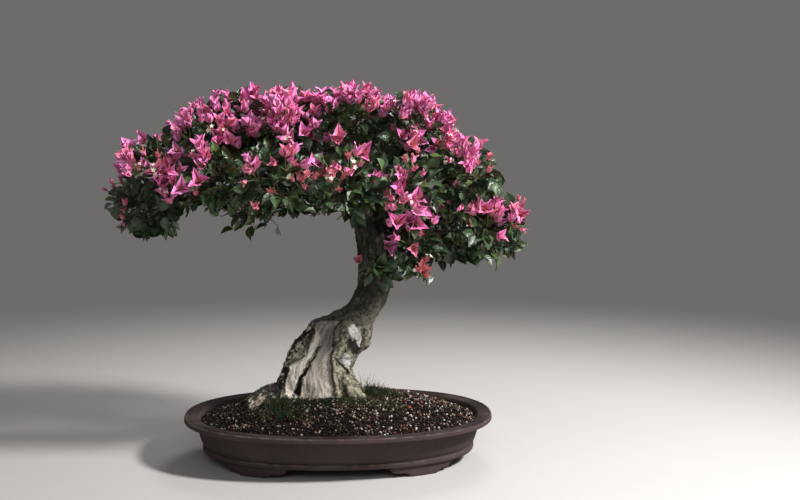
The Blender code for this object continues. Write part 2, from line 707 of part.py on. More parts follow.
def try_leaf(core, face, space, rng, outward):
    """Grows one leaf from a face of the core, where it clears all that is there already."""
    normal = core.normal(face)
    for attempt in range(LEAF_TRIES):
        size = rng.uniform(*LEAF_SIZES) * (1 - LEAF_SHRINK * attempt)
        foot = core.middle(face) + normal * rng.uniform(*STALK_LENGTH)
        hang = hanging_way(normal, outward, rng)
        way = (normal * rng.uniform(*LEAF_LIFT) + hang).normalized()
        end, behind = stalk_end(core, face, foot, hang)
        left = (behind + 1) % 3
        right = (behind + 2) % 3
        ring = [end[left], end[right], end[behind]]
        length = LEAF_LENGTH * size
        width = LEAF_WIDTH * size
        broad, tip = blade_rings(ring, way, length, width, LEAF_THICK, LEAF_WIDEST)
        room = blade_rings(ring, way, length + BLADE_MARGIN, width + BLADE_MARGIN,
                           LEAF_THICK + BLADE_MARGIN / 2, LEAF_WIDEST)
        if not space.is_clear(*walls([ring, room[0]], room[1])):
            continue
        raised = [corner.lerp(foot, 0.1) for corner in core.corners(face)]
        if not space.is_clear(*walls([raised, end], foot + normal * STALK_RADIUS), ignore=core):
            continue
        placed = {left: broad[0], right: broad[1], behind: broad[2]}
        wide = [placed[i] for i in range(3)]
        core.draw_out(face, end)
        core.draw_out(face, wide)
        core.draw_to_point(face, tip)
        space.add(*walls([raised, end, wide], tip))
        core.used.add(face)
        return True
    return False


def spread_faces(core, rng):
    """The core's free faces in an order that keeps each next one far from those before it."""
    faces = [face for face in range(len(core.faces)) if face not in core.used]
    middles = {face: core.middle(face) for face in faces}
    taken = [core.middle(face) for face in core.used]
    if not taken:
        taken = [middles[rng.choice(faces)]]
    order = []
    nearest = {face: min((middles[face] - place).length for place in taken) for face in faces}
    while nearest:
        face = max(nearest, key=lambda f: nearest[f])
        nearest.pop(face)
        order.append(face)
        for other in nearest:
            nearest[other] = min(nearest[other], (middles[other] - middles[face]).length)
    return order


def grow_leaves(core, count, space, rng):
    centre = sum(core.points, Vector()) / len(core.points)
    outward = (centre - CROWN_MIDDLE).normalized()
    grown = 0
    for face in spread_faces(core, rng):
        if grown < count and core.normal(face).dot(outward) > TURNED_IN:
            grown += try_leaf(core, face, space, rng, outward)


def ways_round(axis, rng):
    """Three ways square to an axis, evenly apart."""
    side = Matrix.Rotation(rng.uniform(0, 2 * math.pi), 3, axis) @ axis.orthogonal().normalized()
    return [Matrix.Rotation(2 * math.pi * k / 3, 3, axis) @ side for k in range(3)]


def bloom_eye(body, face, base, way, rng):
    """Three points round the stalk's end, in the order of the face's corners, so the stalk isn't twisted."""
    out = ways_round(way, rng)
    first = body.corners(face)[0] - body.middle(face)
    first = (first - way * first.dot(way)).normalized()
    nearest = max(range(3), key=lambda i: out[i].dot(first))
    return [base + out[(nearest + i) % 3] * BLOOM_EYE for i in range(3)]


def bracts_round(ring, base, apex, way, length, lean):
    """For each of the three bracts, the ring that it starts from, its widest ring and its tip."""
    blades = []
    for i in range(3):
        start = [ring[i], ring[(i + 1) % 3], apex]
        outside = (start[0] + start[1] - base * 2).normalized()
        blade_way = (way * (1 - lean * 0.45) + outside * lean).normalized()
        width = BRACT_WIDTH * length / BRACT_LENGTH
        broad, tip = blade_rings(start, blade_way, length, width, BRACT_THICK, BRACT_WIDEST)
        blades.append((start, broad, tip))
    return blades


def try_bloom(body, face, axis, space, rng):
    """A stalk out of a face of the bunch's knot, and three bracts round its end."""
    for attempt in range(BLOOM_TRIES):
        wobble = Vector(rng.uniform(-BLOOM_WOBBLE, BLOOM_WOBBLE) for _ in range(3))
        way = (axis + wobble).normalized()
        base = body.middle(face) + way * BLOOM_STALK * rng.uniform(*BLOOM_REACH)
        length = BRACT_LENGTH * rng.uniform(*BRACT_SIZES) * (1 - BLOOM_SHRINK * attempt)
        lean = rng.uniform(*BRACT_LEAN)
        ring = bloom_eye(body, face, base, way, rng)
        apex = base + way * BLOOM_EYE_HEIGHT
        blades = bracts_round(ring, base, apex, way, length, lean)
        tests = [walls([start, broad], tip) for start, broad, tip in blades]
        if not all(space.is_clear(*test) for test in tests):
            continue
        stem = walls([[corner.lerp(base, 0.15) for corner in body.corners(face)], ring], apex)
        if not space.is_clear(*stem, ignore=body):
            continue
        body.draw_out(face, ring)
        body.draw_to_point(face, apex)
        sides = [face, len(body.faces) - 2, len(body.faces) - 1]
        for side, (_, broad, tip) in zip(sides, blades):
            body.draw_out(side, broad)
            body.draw_to_point(side, tip)
        for test in tests:
            space.add(*test)
        space.add(*stem, owner=body)
        return


def bloom_faces(body, axis, count):
    """The faces of the knot that bear a bloom: towards the bunch's axis, and well apart if there is room."""
    outer = [face for face in range(20) if face not in body.used and body.normal(face).dot(axis) > -0.1]
    outer.sort(key=lambda face: -body.normal(face).dot(axis))
    chosen = []
    for apart in FACES_APART:
        for face in outer:
            if all(body.normal(face).dot(body.normal(other)) < 1 - apart for other in chosen):
                chosen.append(face)
    chosen += [face for face in outer if face not in chosen]
    return chosen[:count]


def make_bunch(core, way, count, space, rng):
    """A bunch of blooms on one branched stalk, its foot just clear of a face of the core."""
    way = Vector(way).normalized()
    centre = sum(core.points, Vector()) / len(core.points)
    half = max((point - centre).dot(way) for point in core.points)
    foot_face = core.nearest_face(centre + way * half)
    core.used.add(foot_face)
    foot = core.middle(foot_face)
    normal = core.normal(foot_face)
    axis = (way + normal).normalized()
    knot = foot + normal * KNOT_OUT[0] + axis * KNOT_OUT[1]
    body = rough_ball(knot, (KNOT_RADIUS, KNOT_RADIUS, KNOT_RADIUS), 1, rng, 0.0)
    root = body.nearest_face(foot)
    body.draw_to_point(root, foot + normal * CLEAR)
    body.used |= {root, len(body.faces) - 1, len(body.faces) - 2}
    space.add(body.points, body.faces, owner=body)
    for face in bloom_faces(body, axis, count):
        spread = (body.normal(face) + axis * 0.35).normalized()
        try_bloom(body, face, spread, space, rng)
    return body


def make_crown():
    """Cores first, then the wood that reaches them, then the bunches, then leaves in what is left."""
    rng = random.Random(11)
    cores = {}
    for pad, (middle, half_sizes, _) in PADS.items():
        detail = 1 if pad == "neck" else 2
        cores[pad] = rough_ball(middle, half_sizes, detail, rng, CORE_ROUGHNESS)
    wood = make_trunk(cores).data
    space = Space()
    space.add([vertex.co.copy() for vertex in wood.vertices],
              [tuple(polygon.vertices) for polygon in wood.polygons])
    for core in cores.values():
        space.add(core.points, core.faces, owner=core)
    for number, (pad, way, count) in enumerate(BUNCHES, start=1):
        bunch = make_bunch(cores[pad], way, count, space, rng)
        finish = "young_bract" if number in YOUNG_BUNCHES else "bract"
        mesh_object(f"bloom_bunch_{number:02d}", bunch.points, bunch.faces, finish)
    for pad, (_, _, count) in PADS.items():
        grow_leaves(cores[pad], count, space, rng)
        mesh_object("leafy_pad_" + pad, cores[pad].points, cores[pad].faces, "leaf")


def main():
    clear_scene()
    make_pot()
    make_drain_mesh("drain_mesh_left", -DRAIN_X)
    make_drain_mesh("drain_mesh_right", DRAIN_X)
    make_crown()
    make_grit(make_root_holes())


main()
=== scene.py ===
"""The looks of a bougainvillea bonsai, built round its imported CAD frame.

Metres, +Z up, the front towards -Y. Each CAD solid but the two drain meshes is replaced by a finer piece
of the same form: the pot, the mound of grit, the tree, and each leafy pad and bunch of blooms, whose
leaves and bracts are read from the CAD node, so that they stay where the frame has them.
"""

import json
import math

import bmesh
import bpy
import numpy as np
from mathutils import Euler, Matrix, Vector, noise
from mathutils.bvhtree import BVHTree

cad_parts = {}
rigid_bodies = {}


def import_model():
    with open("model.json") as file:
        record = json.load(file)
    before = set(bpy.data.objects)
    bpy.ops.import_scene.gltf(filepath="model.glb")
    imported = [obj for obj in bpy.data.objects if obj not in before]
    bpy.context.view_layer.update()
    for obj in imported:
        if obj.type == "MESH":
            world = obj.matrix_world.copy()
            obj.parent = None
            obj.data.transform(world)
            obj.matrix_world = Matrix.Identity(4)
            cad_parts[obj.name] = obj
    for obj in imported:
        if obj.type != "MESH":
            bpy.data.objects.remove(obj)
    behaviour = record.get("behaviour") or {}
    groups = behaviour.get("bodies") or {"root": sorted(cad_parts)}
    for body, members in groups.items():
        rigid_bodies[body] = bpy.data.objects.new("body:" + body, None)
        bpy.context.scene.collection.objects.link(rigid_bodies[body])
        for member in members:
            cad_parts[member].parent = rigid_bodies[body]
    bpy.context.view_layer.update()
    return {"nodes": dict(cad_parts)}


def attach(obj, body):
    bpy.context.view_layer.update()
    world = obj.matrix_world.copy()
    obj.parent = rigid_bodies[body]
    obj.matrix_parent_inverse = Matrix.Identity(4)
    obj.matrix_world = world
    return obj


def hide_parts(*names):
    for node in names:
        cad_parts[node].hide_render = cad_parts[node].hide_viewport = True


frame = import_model()

# The photograph's camera, and its frame in pixels.
PHOTO_WIDTH = 800
PHOTO_HEIGHT = 500
FOCAL_PIXELS = 1321.7
SENSOR_WIDTH = 36.0
CAMERA_PLACE = np.array((0.038, -2.554, 0.673))
CAMERA_TURN = Euler((math.radians(90 - 5.95), 0, -math.atan(62.5 / FOCAL_PIXELS)))

# The same driving dimensions as the CAD source.
POT_X = 0.038
RIM_LENGTH = 0.600
RIM_DEPTH = 0.450
RIM_POWER = 2.25
POT_SIDES = 168
FOOT_HEIGHT = 0.020
FLOOR_HEIGHT = 0.0325
POT_OUTSIDE = (  # inset from the rim outline, height above the table, reach of the rounded corner
    (0.0400, 0.0200, 0.0), (0.0362, 0.0212, 0.0010), (0.0350, 0.0240, 0.0030), (0.0352, 0.0302, 0.0010),
    (0.0388, 0.0322, 0.0012), (0.0368, 0.0345, 0.0012), (0.0325, 0.0405, 0.0050), (0.0282, 0.0540, 0.0080),
    (0.0245, 0.0720, 0.0060), (0.0195, 0.0772, 0.0012), (0.0022, 0.0780, 0.0008), (0.0000, 0.0796, 0.0010),
    (0.0000, 0.0864, 0.0010), (0.0018, 0.0880, 0.0010), (0.0058, 0.0881, 0.0005), (0.0065, 0.0873, 0.0005),
    (0.0078, 0.0873, 0.0005), (0.0085, 0.0881, 0.0005), (0.0200, 0.0876, 0.0020),
)
POT_INSIDE = (
    (0.0272, 0.0872, 0.0012), (0.0298, 0.0830, 0.0030), (0.0330, 0.0700, 0.0060), (0.0400, 0.0500, 0.0080),
    (0.0500, 0.0385, 0.0060), (0.0640, 0.0325, 0.0),
)
FOOT_CENTRE = 0.162
FOOT_OUTER = 0.0415
FOOT_INNER = 0.0850
FOOT_OUTLINE = ((-0.064, 0.0140), (-0.057, 0.0075), (-0.038, 0.0062), (-0.025, 0.0), (0.0, 0.0))
FOOT_IN_POT = 0.004
POT_SHARP = 32
BAND_EDGE = (0.0351, 0.0298)  # inset and height of the edges that wear
LIP_EDGE = (0.0008, 0.0874)
DRAIN_X = 0.115
DRAIN_RADIUS = 0.012
DRAIN_MESHES = ("drain_mesh_left", "drain_mesh_right")
GRIT_EDGE = 0.076
GRIT_RISE = 0.050
GRIT_POWER = 2.4
GRIT_INSET = 0.0295
GRIT_SIDES = 120
GRAIN_INSET = 0.0325
GRAIN_PITCH = 0.0045
GRAIN_RADIUS = (0.0013, 0.0030)
RED_TONE = 0.935
PALE_TONE = 0.955
UNDER_TRUNK = 0.97

TRUNK_Y = 0.015
TRUNK_RINGS = (  # height, middle, half width, half depth
    (0.055, -0.036, 0.072, 0.052), (0.108, -0.038, 0.094, 0.068), (0.122, -0.039, 0.087, 0.062),
    (0.136, -0.040, 0.079, 0.056), (0.157, -0.043, 0.071, 0.051), (0.180, -0.040, 0.064, 0.048),
    (0.198, -0.027, 0.065, 0.046), (0.216, -0.010, 0.069, 0.045), (0.236, -0.003, 0.066, 0.043),
    (0.256, 0.006, 0.061, 0.041), (0.266, 0.011, 0.058, 0.039), (0.277, 0.030, 0.045, 0.036),
    (0.292, 0.049, 0.036, 0.033), (0.312, 0.062, 0.032, 0.031), (0.340, 0.072, 0.031, 0.030),
    (0.372, 0.0755, 0.034, 0.031), (0.404, 0.073, 0.033, 0.030), (0.439, 0.067, 0.032, 0.029),
    (0.465, 0.054, 0.028, 0.026), (0.489, 0.034, 0.022, 0.021),
)
FLARE = 0.10
FLARE_TOP = 0.200
WOOD_VOXEL = 0.0021
GRAIN_STRETCH = 0.13
LIMB_GRAIN_START = 0.7
LIMBS = (  # the knuckle, the surface root and the four main limbs: places, then radii
    (((-0.105, 0.005, 0.118), (-0.138, -0.008, 0.120), (-0.162, -0.030, 0.107), (-0.174, -0.045, 0.078)),
     (0.026, 0.021, 0.019, 0.011)),
    (((0.010, -0.020, 0.150), (0.034, -0.032, 0.126), (0.058, -0.038, 0.104)), (0.018, 0.014, 0.008)),
    (((0.040, 0.014, 0.482), (-0.020, 0.010, 0.516), (-0.110, 0.004, 0.534), (-0.200, 0.002, 0.540),
      (-0.272, 0.004, 0.528)), (0.022, 0.018, 0.014, 0.010, 0.006)),
    (((0.036, 0.014, 0.484), (0.018, 0.012, 0.530), (0.016, 0.008, 0.580)), (0.017, 0.012, 0.007)),
    (((0.066, 0.012, 0.436), (0.096, 0.008, 0.482), (0.130, 0.004, 0.526), (0.170, 0.002, 0.550)),
     (0.020, 0.015, 0.011, 0.006)),
    (((0.074, 0.008, 0.398), (0.116, 0.000, 0.412), (0.150, -0.022, 0.424), (0.210, -0.040, 0.450)),
     (0.016, 0.011, 0.008, 0.005)),
)
PADS = tuple(sorted(name for name in frame["nodes"] if name.startswith("leafy_pad_")))
BUNCHES = tuple(sorted(name for name in frame["nodes"] if name.startswith("bloom_bunch_")))
YOUNG_BUNCHES = ("bloom_bunch_12", "bloom_bunch_15", "bloom_bunch_23", "bloom_bunch_32")
CROWN_PIECES = ("leaves", "blooms", "young", "tree")
CROWN_MIDDLE = np.array((0.008, 0.0, 0.520))
CROWN_LOW = 0.47
UP = np.array((0.0, 0.0, 1.0))

# Leaves, blooms, moss and grass. An outline gives a blade's share of its full width at shares of its length.
BEND_STEPS = 24
LEAF_STATIONS = (0.07, 0.27, 0.52, 0.78)
LEAF_OUTLINE = ((0.0, 0.12), (0.07, 0.56), (0.27, 1.0), (0.52, 0.94), (0.78, 0.42), (1.0, 0.02))
LEAF_WIDEST = 0.38
LEAF_LENGTH = 0.030
LEAVES_A_TWIG = 10
LEAVES_A_SHOOT = 5
LEAVES_A_GAP = 3
LEAVES_A_WEED = 7
LEAF_TO_BLOOM = 0.017
LIMB_SHOOTS = 56
GAP_COLUMNS = (104, 530)
GAP_ROWS = (84, 280)
GAP_STEP = 3.0
GAPS_APART = 6.5
BRACT_STATIONS = (0.09, 0.28, 0.50, 0.72, 0.90)
BRACT_OUTLINE = ((0.0, 0.20), (0.07, 0.50), (0.20, 0.90), (0.32, 1.02), (0.50, 0.80), (0.70, 0.44),
                 (0.88, 0.15), (1.0, 0.02))
BRACT_WIDEST = 0.42
BRACT_LENGTH = 0.0275
GROWN_SIZE = 0.95
YOUNG_SIZE = 0.70
UNSEEN_SIZE = 0.52
WARM_SHARE = 0.25
MAGENTA = ((0.900, 0.175, 0.450), (1.000, 0.400, 0.810), (0.520, 0.200, 0.100))  # deep, bright, foot
CORAL = ((0.680, 0.140, 0.170), (0.880, 0.270, 0.300), (0.500, 0.320, 0.160))
BUD_BROWN = ((0.090, 0.030, 0.034), (0.200, 0.060, 0.065), (0.050, 0.045, 0.024))
BLOOM_DEPTH = 0.014
BUNCH_STALK = 0.026
BLOOMS_A_BUNCH = 7
BUNCH_TRIES = 120
BACK_FROM = 0.03
SEEN_WITHIN = 9.0  # pixels, as are the next two
GROWN_LEAD = 2.0
NEW_WITHIN = 6.0
BLOOMS_APART = 0.0105
BLOOM_COPIES = (  # side that they face and spread in pixels, for each bloom seen in the photograph
    (-1, 0.0), (-1, 3.0), (-1, 4.0), (-1, 5.0), (1, 5.0), (1, 6.0),
)
YOUNG_COPIES = ((-1, 0.0), (1, 4.0))
SKIPPED_BELOW = 0.72
SURE_REACH = 0.045
LOOSE_REACH = 0.024
SIGHT_DISTANCES = np.arange(2.3, 2.8, 0.02)
STAR_POINTS = 20
MOSS_MIDDLE = -0.034
MOSS_RADII = (0.096, 0.070)
MOSS_CLUMPS = 340
LEFT_ROOT_TURN = 4.35  # radians round the trunk's foot
RIGHT_ROOT_TURN = 5.9
RIGHT_SIDE_TURN = -0.38
BLADES_A_CLUMP = 17
LITTER_CLUMPS = 150
LITTER_END = 0.130
GRASS_TUFTS = (  # place from the pot's middle, height and number of blades
    (0.052, 0.004, 0.050, 9), (0.062, 0.012, 0.042, 10), (0.074, -0.006, 0.032, 12),
    (0.088, 0.004, 0.026, 14), (0.060, -0.020, 0.030, 20), (0.074, -0.030, 0.024, 20),
    (0.104, -0.020, 0.018, 16), (0.020, -0.078, 0.012, 24), (-0.112, -0.060, 0.022, 34),
    (-0.124, -0.066, 0.018, 32), (-0.100, -0.072, 0.015, 30), (-0.090, -0.080, 0.012, 28),
    (-0.136, -0.056, 0.015, 24), (-0.060, -0.088, 0.010, 28), (-0.118, -0.078, 0.013, 28),
    (0.070, 0.030, 0.018, 20), (-0.150, 0.040, 0.012, 20), (-0.030, 0.095, 0.012, 24),
)
WEEDS = ((-0.235, -0.085), (0.170, -0.015), (-0.180, -0.128))

FLOOR_REACH = 30.0
WORLD_COLOUR = (0.155, 0.148, 0.145)
LIGHT_TARGET = (0.0, 0.0, 0.45)

# The crown's outline in the photograph, and the places where the background shows through it, in pixels.
CROWN_OUTLINE = (
    (103, 189), (114, 167), (120, 143), (141, 133), (166, 121), (184, 106), (212, 91), (239, 86), (264, 87),
    (294, 83), (319, 87), (349, 81), (386, 92), (407, 89), (426, 98), (447, 107), (460, 130), (487, 136),
    (493, 155), (508, 182), (530, 213), (524, 244), (515, 256), (466, 271), (417, 277), (395, 280),
    (372, 276), (356, 280), (350, 262), (357, 240), (343, 207), (334, 207), (322, 219), (300, 222),
    (276, 219), (245, 228), (218, 210), (190, 210), (187, 219), (172, 241), (135, 241), (120, 231),
    (105, 212),
)
CROWN_GAPS = (  # middle and half sizes
    (149, 180, 11, 9), (430, 186, 10, 6), (466, 191, 10, 5), (118, 178, 12, 8), (345, 262, 8, 16),
    (474, 176, 5, 5), (500, 198, 6, 4), (160, 133, 5, 4), (457, 267, 4, 6), (437, 267, 6, 5),
    (485, 264, 7, 6), (503, 258, 6, 5), (330, 214, 6, 6), (262, 226, 6, 5), (292, 224, 5, 5),
    (205, 212, 7, 5),
)

# Where the middles of full-grown blooms show in the photograph, in pixels, roughly from left to right.
BLOOMS_IN_PHOTO = (
    (130, 144), (126, 156), (125, 170), (145, 139), (168, 135), (176, 148), (173, 158), (183, 161),
    (165, 165), (202, 147), (202, 162), (199, 179), (168, 191), (182, 187), (167, 200), (174, 199),
    (157, 170), (164, 180), (174, 177), (176, 124), (188, 115), (180, 112), (196, 106), (208, 108), (218, 95),
    (220, 105), (236, 90), (244, 97), (232, 100), (228, 95), (255, 89), (257, 97), (265, 101), (254, 108),
    (245, 106), (265, 109), (278, 93), (282, 102), (274, 112), (298, 87), (295, 97), (306, 96), (292, 106),
    (291, 113), (303, 112), (316, 98), (323, 93), (327, 100), (272, 121), (282, 119), (292, 119), (310, 118),
    (314, 109), (284, 128), (233, 118), (227, 122), (235, 126), (224, 129), (218, 135), (246, 120),
    (253, 119), (252, 127), (260, 123), (231, 139), (237, 142), (288, 138), (292, 150), (298, 149),
    (304, 132), (310, 136), (312, 124), (320, 138), (328, 139), (314, 160), (319, 163), (337, 93), (334, 103),
    (340, 99), (352, 88), (350, 98), (358, 97), (365, 93), (366, 102), (377, 95), (375, 102), (386, 107),
    (393, 105), (404, 112), (407, 95), (413, 91), (409, 103), (423, 102), (427, 104), (441, 105), (437, 115),
    (448, 115), (452, 121), (442, 120), (430, 123), (447, 127), (457, 126), (459, 140), (339, 133),
    (337, 139), (350, 140), (361, 145), (363, 152), (403, 135), (416, 134), (409, 145), (413, 144),
    (420, 141), (438, 142), (445, 145), (431, 150), (479, 142), (469, 159), (381, 175), (375, 179),
    (370, 185), (402, 174), (400, 184), (417, 196), (419, 208), (427, 213), (409, 218), (417, 223),
    (397, 220), (390, 245), (464, 203), (474, 206), (484, 208), (496, 205), (503, 210), (515, 210),
    (521, 213), (471, 221), (498, 221), (501, 235),
)

# The same for young coral blooms, and for the dark buds at the ends of bare twigs.
YOUNG_IN_PHOTO = (
    (139, 168), (196, 191), (126, 201), (126, 210), (242, 154), (233, 163), (254, 162), (274, 161),
    (302, 172), (321, 173), (271, 192), (256, 206), (333, 171), (347, 173), (393, 127), (418, 153),
    (458, 151), (468, 159), (488, 156), (464, 154), (387, 206), (414, 250), (399, 263), (424, 268),
    (358, 259), (386, 193), (404, 196),
)
BUDS_IN_PHOTO = (
    (104, 189), (114, 187), (122, 182), (147, 188), (122, 217), (124, 224), (159, 139), (111, 181),
    (133, 150), (443, 196), (455, 183), (519, 198), (512, 203),
)

# Above this row of the photograph the crown is nearly all bloom.
TOP_BAND = 128

# Features of the trunk's front, in the photograph's pixels.
CREAM_WOOD = ((316, 326), (319, 336), (318, 346), (311, 357), (306, 367), (298, 378), (295, 392), (293, 400),
              (286, 394), (285, 388), (289, 372), (292, 365), (301, 360), (308, 349), (314, 338))
CENTRE_WOOD = ((317, 324), (321, 321), (330, 320.5), (340, 321.5), (335, 328), (332, 345), (330, 360),
               (332.5, 374), (334, 392), (333, 400), (302, 400), (302, 391), (306, 377), (309, 367),
               (313, 358), (319.5, 346), (318, 334))
PURPLE_WOOD = ((322, 329), (334, 325), (335, 329), (332, 345), (331, 352), (322, 356), (318, 352), (320, 338))
CRACK = ((320, 345.5), (313, 357), (308.5, 367), (304, 373), (299.5, 380), (297, 392))
CRACK_WIDTHS = (0.1, 0.3, 0.5, 1.8, 2.3, 2.6)
CREAM_EDGE = ((314.6, 329), (309, 342), (305.5, 354), (299, 359.5), (291, 364), (287.5, 372.5), (284.5, 382))
KNUCKLE_TOP = ((251, 399), (256, 388), (266, 381), (284, 379), (285, 391), (275, 398), (264, 402), (257, 404))
BARK_EDGE = ((342, 320.5), (335, 328), (332.5, 346), (330.5, 360), (332.5, 374), (334.5, 392))
LEFT_BARK_EDGE = ((318, 345, 366, 392), (318, 307, 289, 284))  # rows, and the columns there
RIGHT_FURROW = ((334, 357), (340, 364), (347, 371), (354, 380))
DARK_PATCH = ((348.5, 338.5), (355, 338.5), (357, 346), (361, 349), (358, 354), (351, 352), (347.5, 345))
WHITE_PATCHES = (
    ((347.8, 328), (350, 325), (354, 324.4), (356.5, 327.5), (358, 331), (360.5, 335), (360.5, 341),
     (359.5, 346.5), (357, 345), (356.2, 340), (354, 337.5), (350.5, 336.5), (348.2, 332)),
    ((344, 353.5), (347, 352.5), (349.5, 356), (350, 363), (348.5, 369.5), (345, 367), (341.5, 360)),
)
FRONT_ROOT_END = ((251, 412), (253, 404), (258, 397), (266, 395), (262, 402), (258, 411))


# Small helpers


def unit(vectors):
    return vectors / np.linalg.norm(vectors, axis=-1, keepdims=True)


def smooth_step(low, high, values):
    share = np.clip((values - low) / (high - low), 0, 1)
    return share * share * (3 - 2 * share)


def curve_through(knots, steps):
    """Points of a Catmull-Rom curve through the knots, given as an array of any width."""
    knots = np.asarray(knots, float)
    ends = np.vstack([2 * knots[0] - knots[1], knots, 2 * knots[-1] - knots[-2]])
    points = []
    for i in range(1, len(ends) - 2):
        a, b, c, d = ends[i - 1:i + 3]
        for step in range(steps):
            t = step / steps
            points.append(0.5 * (2 * b + (c - a) * t + (2 * a - 5 * b + 4 * c - d) * t ** 2
                                 + (3 * b - a - 3 * c + d) * t ** 3))
    return np.array(points + [knots[-1]])


def photo_pixels(points):
    """Where points in space show in the photograph."""
    local = (points - CAMERA_PLACE) @ np.array(CAMERA_TURN.to_matrix())
    x = PHOTO_WIDTH / 2 - FOCAL_PIXELS * local[:, 0] / local[:, 2]
    y = PHOTO_HEIGHT / 2 + FOCAL_PIXELS * local[:, 1] / local[:, 2]
    return np.stack([x, y], axis=1)


def distance_to_path(places, path, widths=None):
    """Distance from flat places to a path of straight lines, less the path's own width there."""
    best = np.full(len(places), np.inf)
    widths = np.zeros(len(path)) if widths is None else np.asarray(widths, float)
    path = np.asarray(path, float)
    for i in range(len(path) - 1):
        line = path[i + 1] - path[i]
        share = np.clip((places - path[i]) @ line / (line @ line), 0, 1)
        gap = np.linalg.norm(places - path[i] - share[:, None] * line, axis=1)
        best = np.minimum(best, gap - widths[i] - share * (widths[i + 1] - widths[i]))
    return best


def distance_inside(places, outline):
    """Distance to an outline, positive inside it and negative outside."""
    outline = np.asarray(outline, float)
    inside = np.zeros(len(places), bool)
    for a, b in zip(outline, np.roll(outline, -1, axis=0)):
        crosses = (a[1] > places[:, 1]) != (b[1] > places[:, 1])
        level = b[1] - a[1] if a[1] != b[1] else 1.0
        inside ^= crosses & (places[:, 0] < a[0] + (places[:, 1] - a[1]) * (b[0] - a[0]) / level)
    gap = distance_to_path(places, np.vstack([outline, outline[:1]]))
    return np.where(inside, gap, -gap)


def lumps(points, scale, octaves=3, seed=0.0):
    """Smooth noise of about -1 to 1 at each point."""
    shift = Vector((seed, seed * 1.7, -seed))
    return np.array([noise.fractal(Vector(point) * scale + shift, 1.0, 2.0, octaves) for point in points])


def read_points(mesh, field="co"):
    values = np.empty(len(mesh.vertices) * 3, np.float32)
    mesh.vertices.foreach_get(field, values)
    return values.reshape(-1, 3).astype(float)


def keep_values(mesh, name, values):
    """Keeps three values at each point of a mesh, for its finish to read."""
    made = mesh.attributes.new(name, "FLOAT_VECTOR", "POINT")
    made.data.foreach_set("vector", values.astype(np.float32).ravel())


def point_values(shape, *parts):
    """Three values at each point of many shapes, as numbers, rows or columns that fill (shapes, points)."""
    return np.stack([np.broadcast_to(part, shape) for part in parts], axis=-1)


class Batch:
    """The triangles of one piece, gathered shape by shape, with values at their points."""

    def __init__(self):
        self.points = []
        self.faces = []
        self.finishes = []
        self.values = {}
        self.count = 0

    def add(self, points, faces, finish=0, **values):
        points = np.asarray(points, float).reshape(-1, 3)
        faces = np.asarray(faces, int)
        self.points.append(points)
        self.faces.append(faces + self.count)
        self.finishes.append(np.full(len(faces), finish))
        for name, value in values.items():
            value = np.broadcast_to(np.asarray(value, float), (len(points), 3))
            self.values.setdefault(name, []).append((self.count, value))
        self.count += len(points)

    def add_many(self, points, faces, finish=0, **values):
        """Adds shapes of one kind: points has a row for each shape, and faces are those of one shape."""
        shapes, each, _ = points.shape
        starts = np.arange(shapes)[:, None, None] * each
        spread = {name: np.broadcast_to(value, points.shape).reshape(-1, 3) for name, value in values.items()}
        self.add(points, (faces[None] + starts).reshape(-1, 3), finish, **spread)

    def make(self, name, finishes, sharp=70):
        mesh = bpy.data.meshes.new(name)
        points = np.vstack(self.points)
        faces = np.vstack(self.faces)
        mesh.vertices.add(len(points))
        mesh.vertices.foreach_set("co", points.astype(np.float32).ravel())
        mesh.loops.add(faces.size)
        mesh.loops.foreach_set("vertex_index", faces.astype(np.int32).ravel())
        mesh.polygons.add(len(faces))
        mesh.polygons.foreach_set("loop_start", np.arange(0, faces.size, 3, dtype=np.int32))
        mesh.polygons.foreach_set("material_index", np.concatenate(self.finishes).astype(np.int32))
        mesh.update(calc_edges=True)
        for key, parts in self.values.items():
            filled = np.zeros((len(points), 3))
            for start, part in parts:
                filled[start:start + len(part)] = part
            keep_values(mesh, key, filled)
        return add_piece(name, mesh, finishes, sharp)


def add_piece(name, mesh, finishes, sharp=40):
    for finish in finishes:
        mesh.materials.append(finish)
    shade(mesh, sharp)
    piece = bpy.data.objects.new(name, mesh)
    bpy.context.scene.collection.objects.link(piece)
    return piece


def declare(piece, slot, *nodes):
    """Says what a piece rides on and stands for. The slot, which would name its finish, is not used."""
    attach(piece, "root")
    if nodes:
        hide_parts(*nodes)


def shade(mesh, sharp):
    """Shades a mesh smooth, apart from edges sharper than an angle."""
    mesh.shade_smooth()
    mesh.set_sharp_from_angle(angle=math.radians(sharp))


def apply_modifiers(piece):
    bpy.context.view_layer.update()
    graph = bpy.context.evaluated_depsgraph_get()
    result = bpy.data.meshes.new_from_object(piece.evaluated_get(graph))
    piece.modifiers.clear()
    old = piece.data
    piece.data = result
    bpy.data.meshes.remove(old)


def ring_faces(places, sides):
    """Triangles of a closed tube through rings of points, with flat ends."""
    faces = []
    for low in range(0, (places - 1) * sides, sides):
        for i in range(sides):
            j = (i + 1) % sides
            faces += [(low + i, low + j, low + sides + j), (low + i, low + sides + j, low + sides + i)]
    last = (places - 1) * sides
    for k in range(1, sides - 1):
        faces += [(0, k + 1, k), (last, last + k, last + k + 1)]
    return np.array(faces)


def tube_points(paths, radii, sides):
    """Points of tubes along many paths at once. paths is (tubes, places, 3) and radii (tubes, places)."""
    way = unit(np.gradient(paths, axis=1))
    side = np.cross(way[:, :1], (0.31, 0.17, 0.93))
    side = unit(side - way * np.sum(way * side, axis=-1, keepdims=True))
    other = np.cross(way, side)
    turn = 2 * math.pi * np.arange(sides) / sides
    ring = (side[:, :, None] * np.cos(turn)[:, None] + other[:, :, None] * np.sin(turn)[:, None])
    points = paths[:, :, None] + ring * np.asarray(radii)[:, :, None, None]
    return points.reshape(len(paths), -1, 3)


def add_tubes(batch, paths, radii, sides, finish=0, **values):
    paths = np.asarray(paths, float)
    radii = np.broadcast_to(radii, paths.shape[:2])
    batch.add_many(tube_points(paths, radii, sides), ring_faces(paths.shape[1], sides), finish, **values)


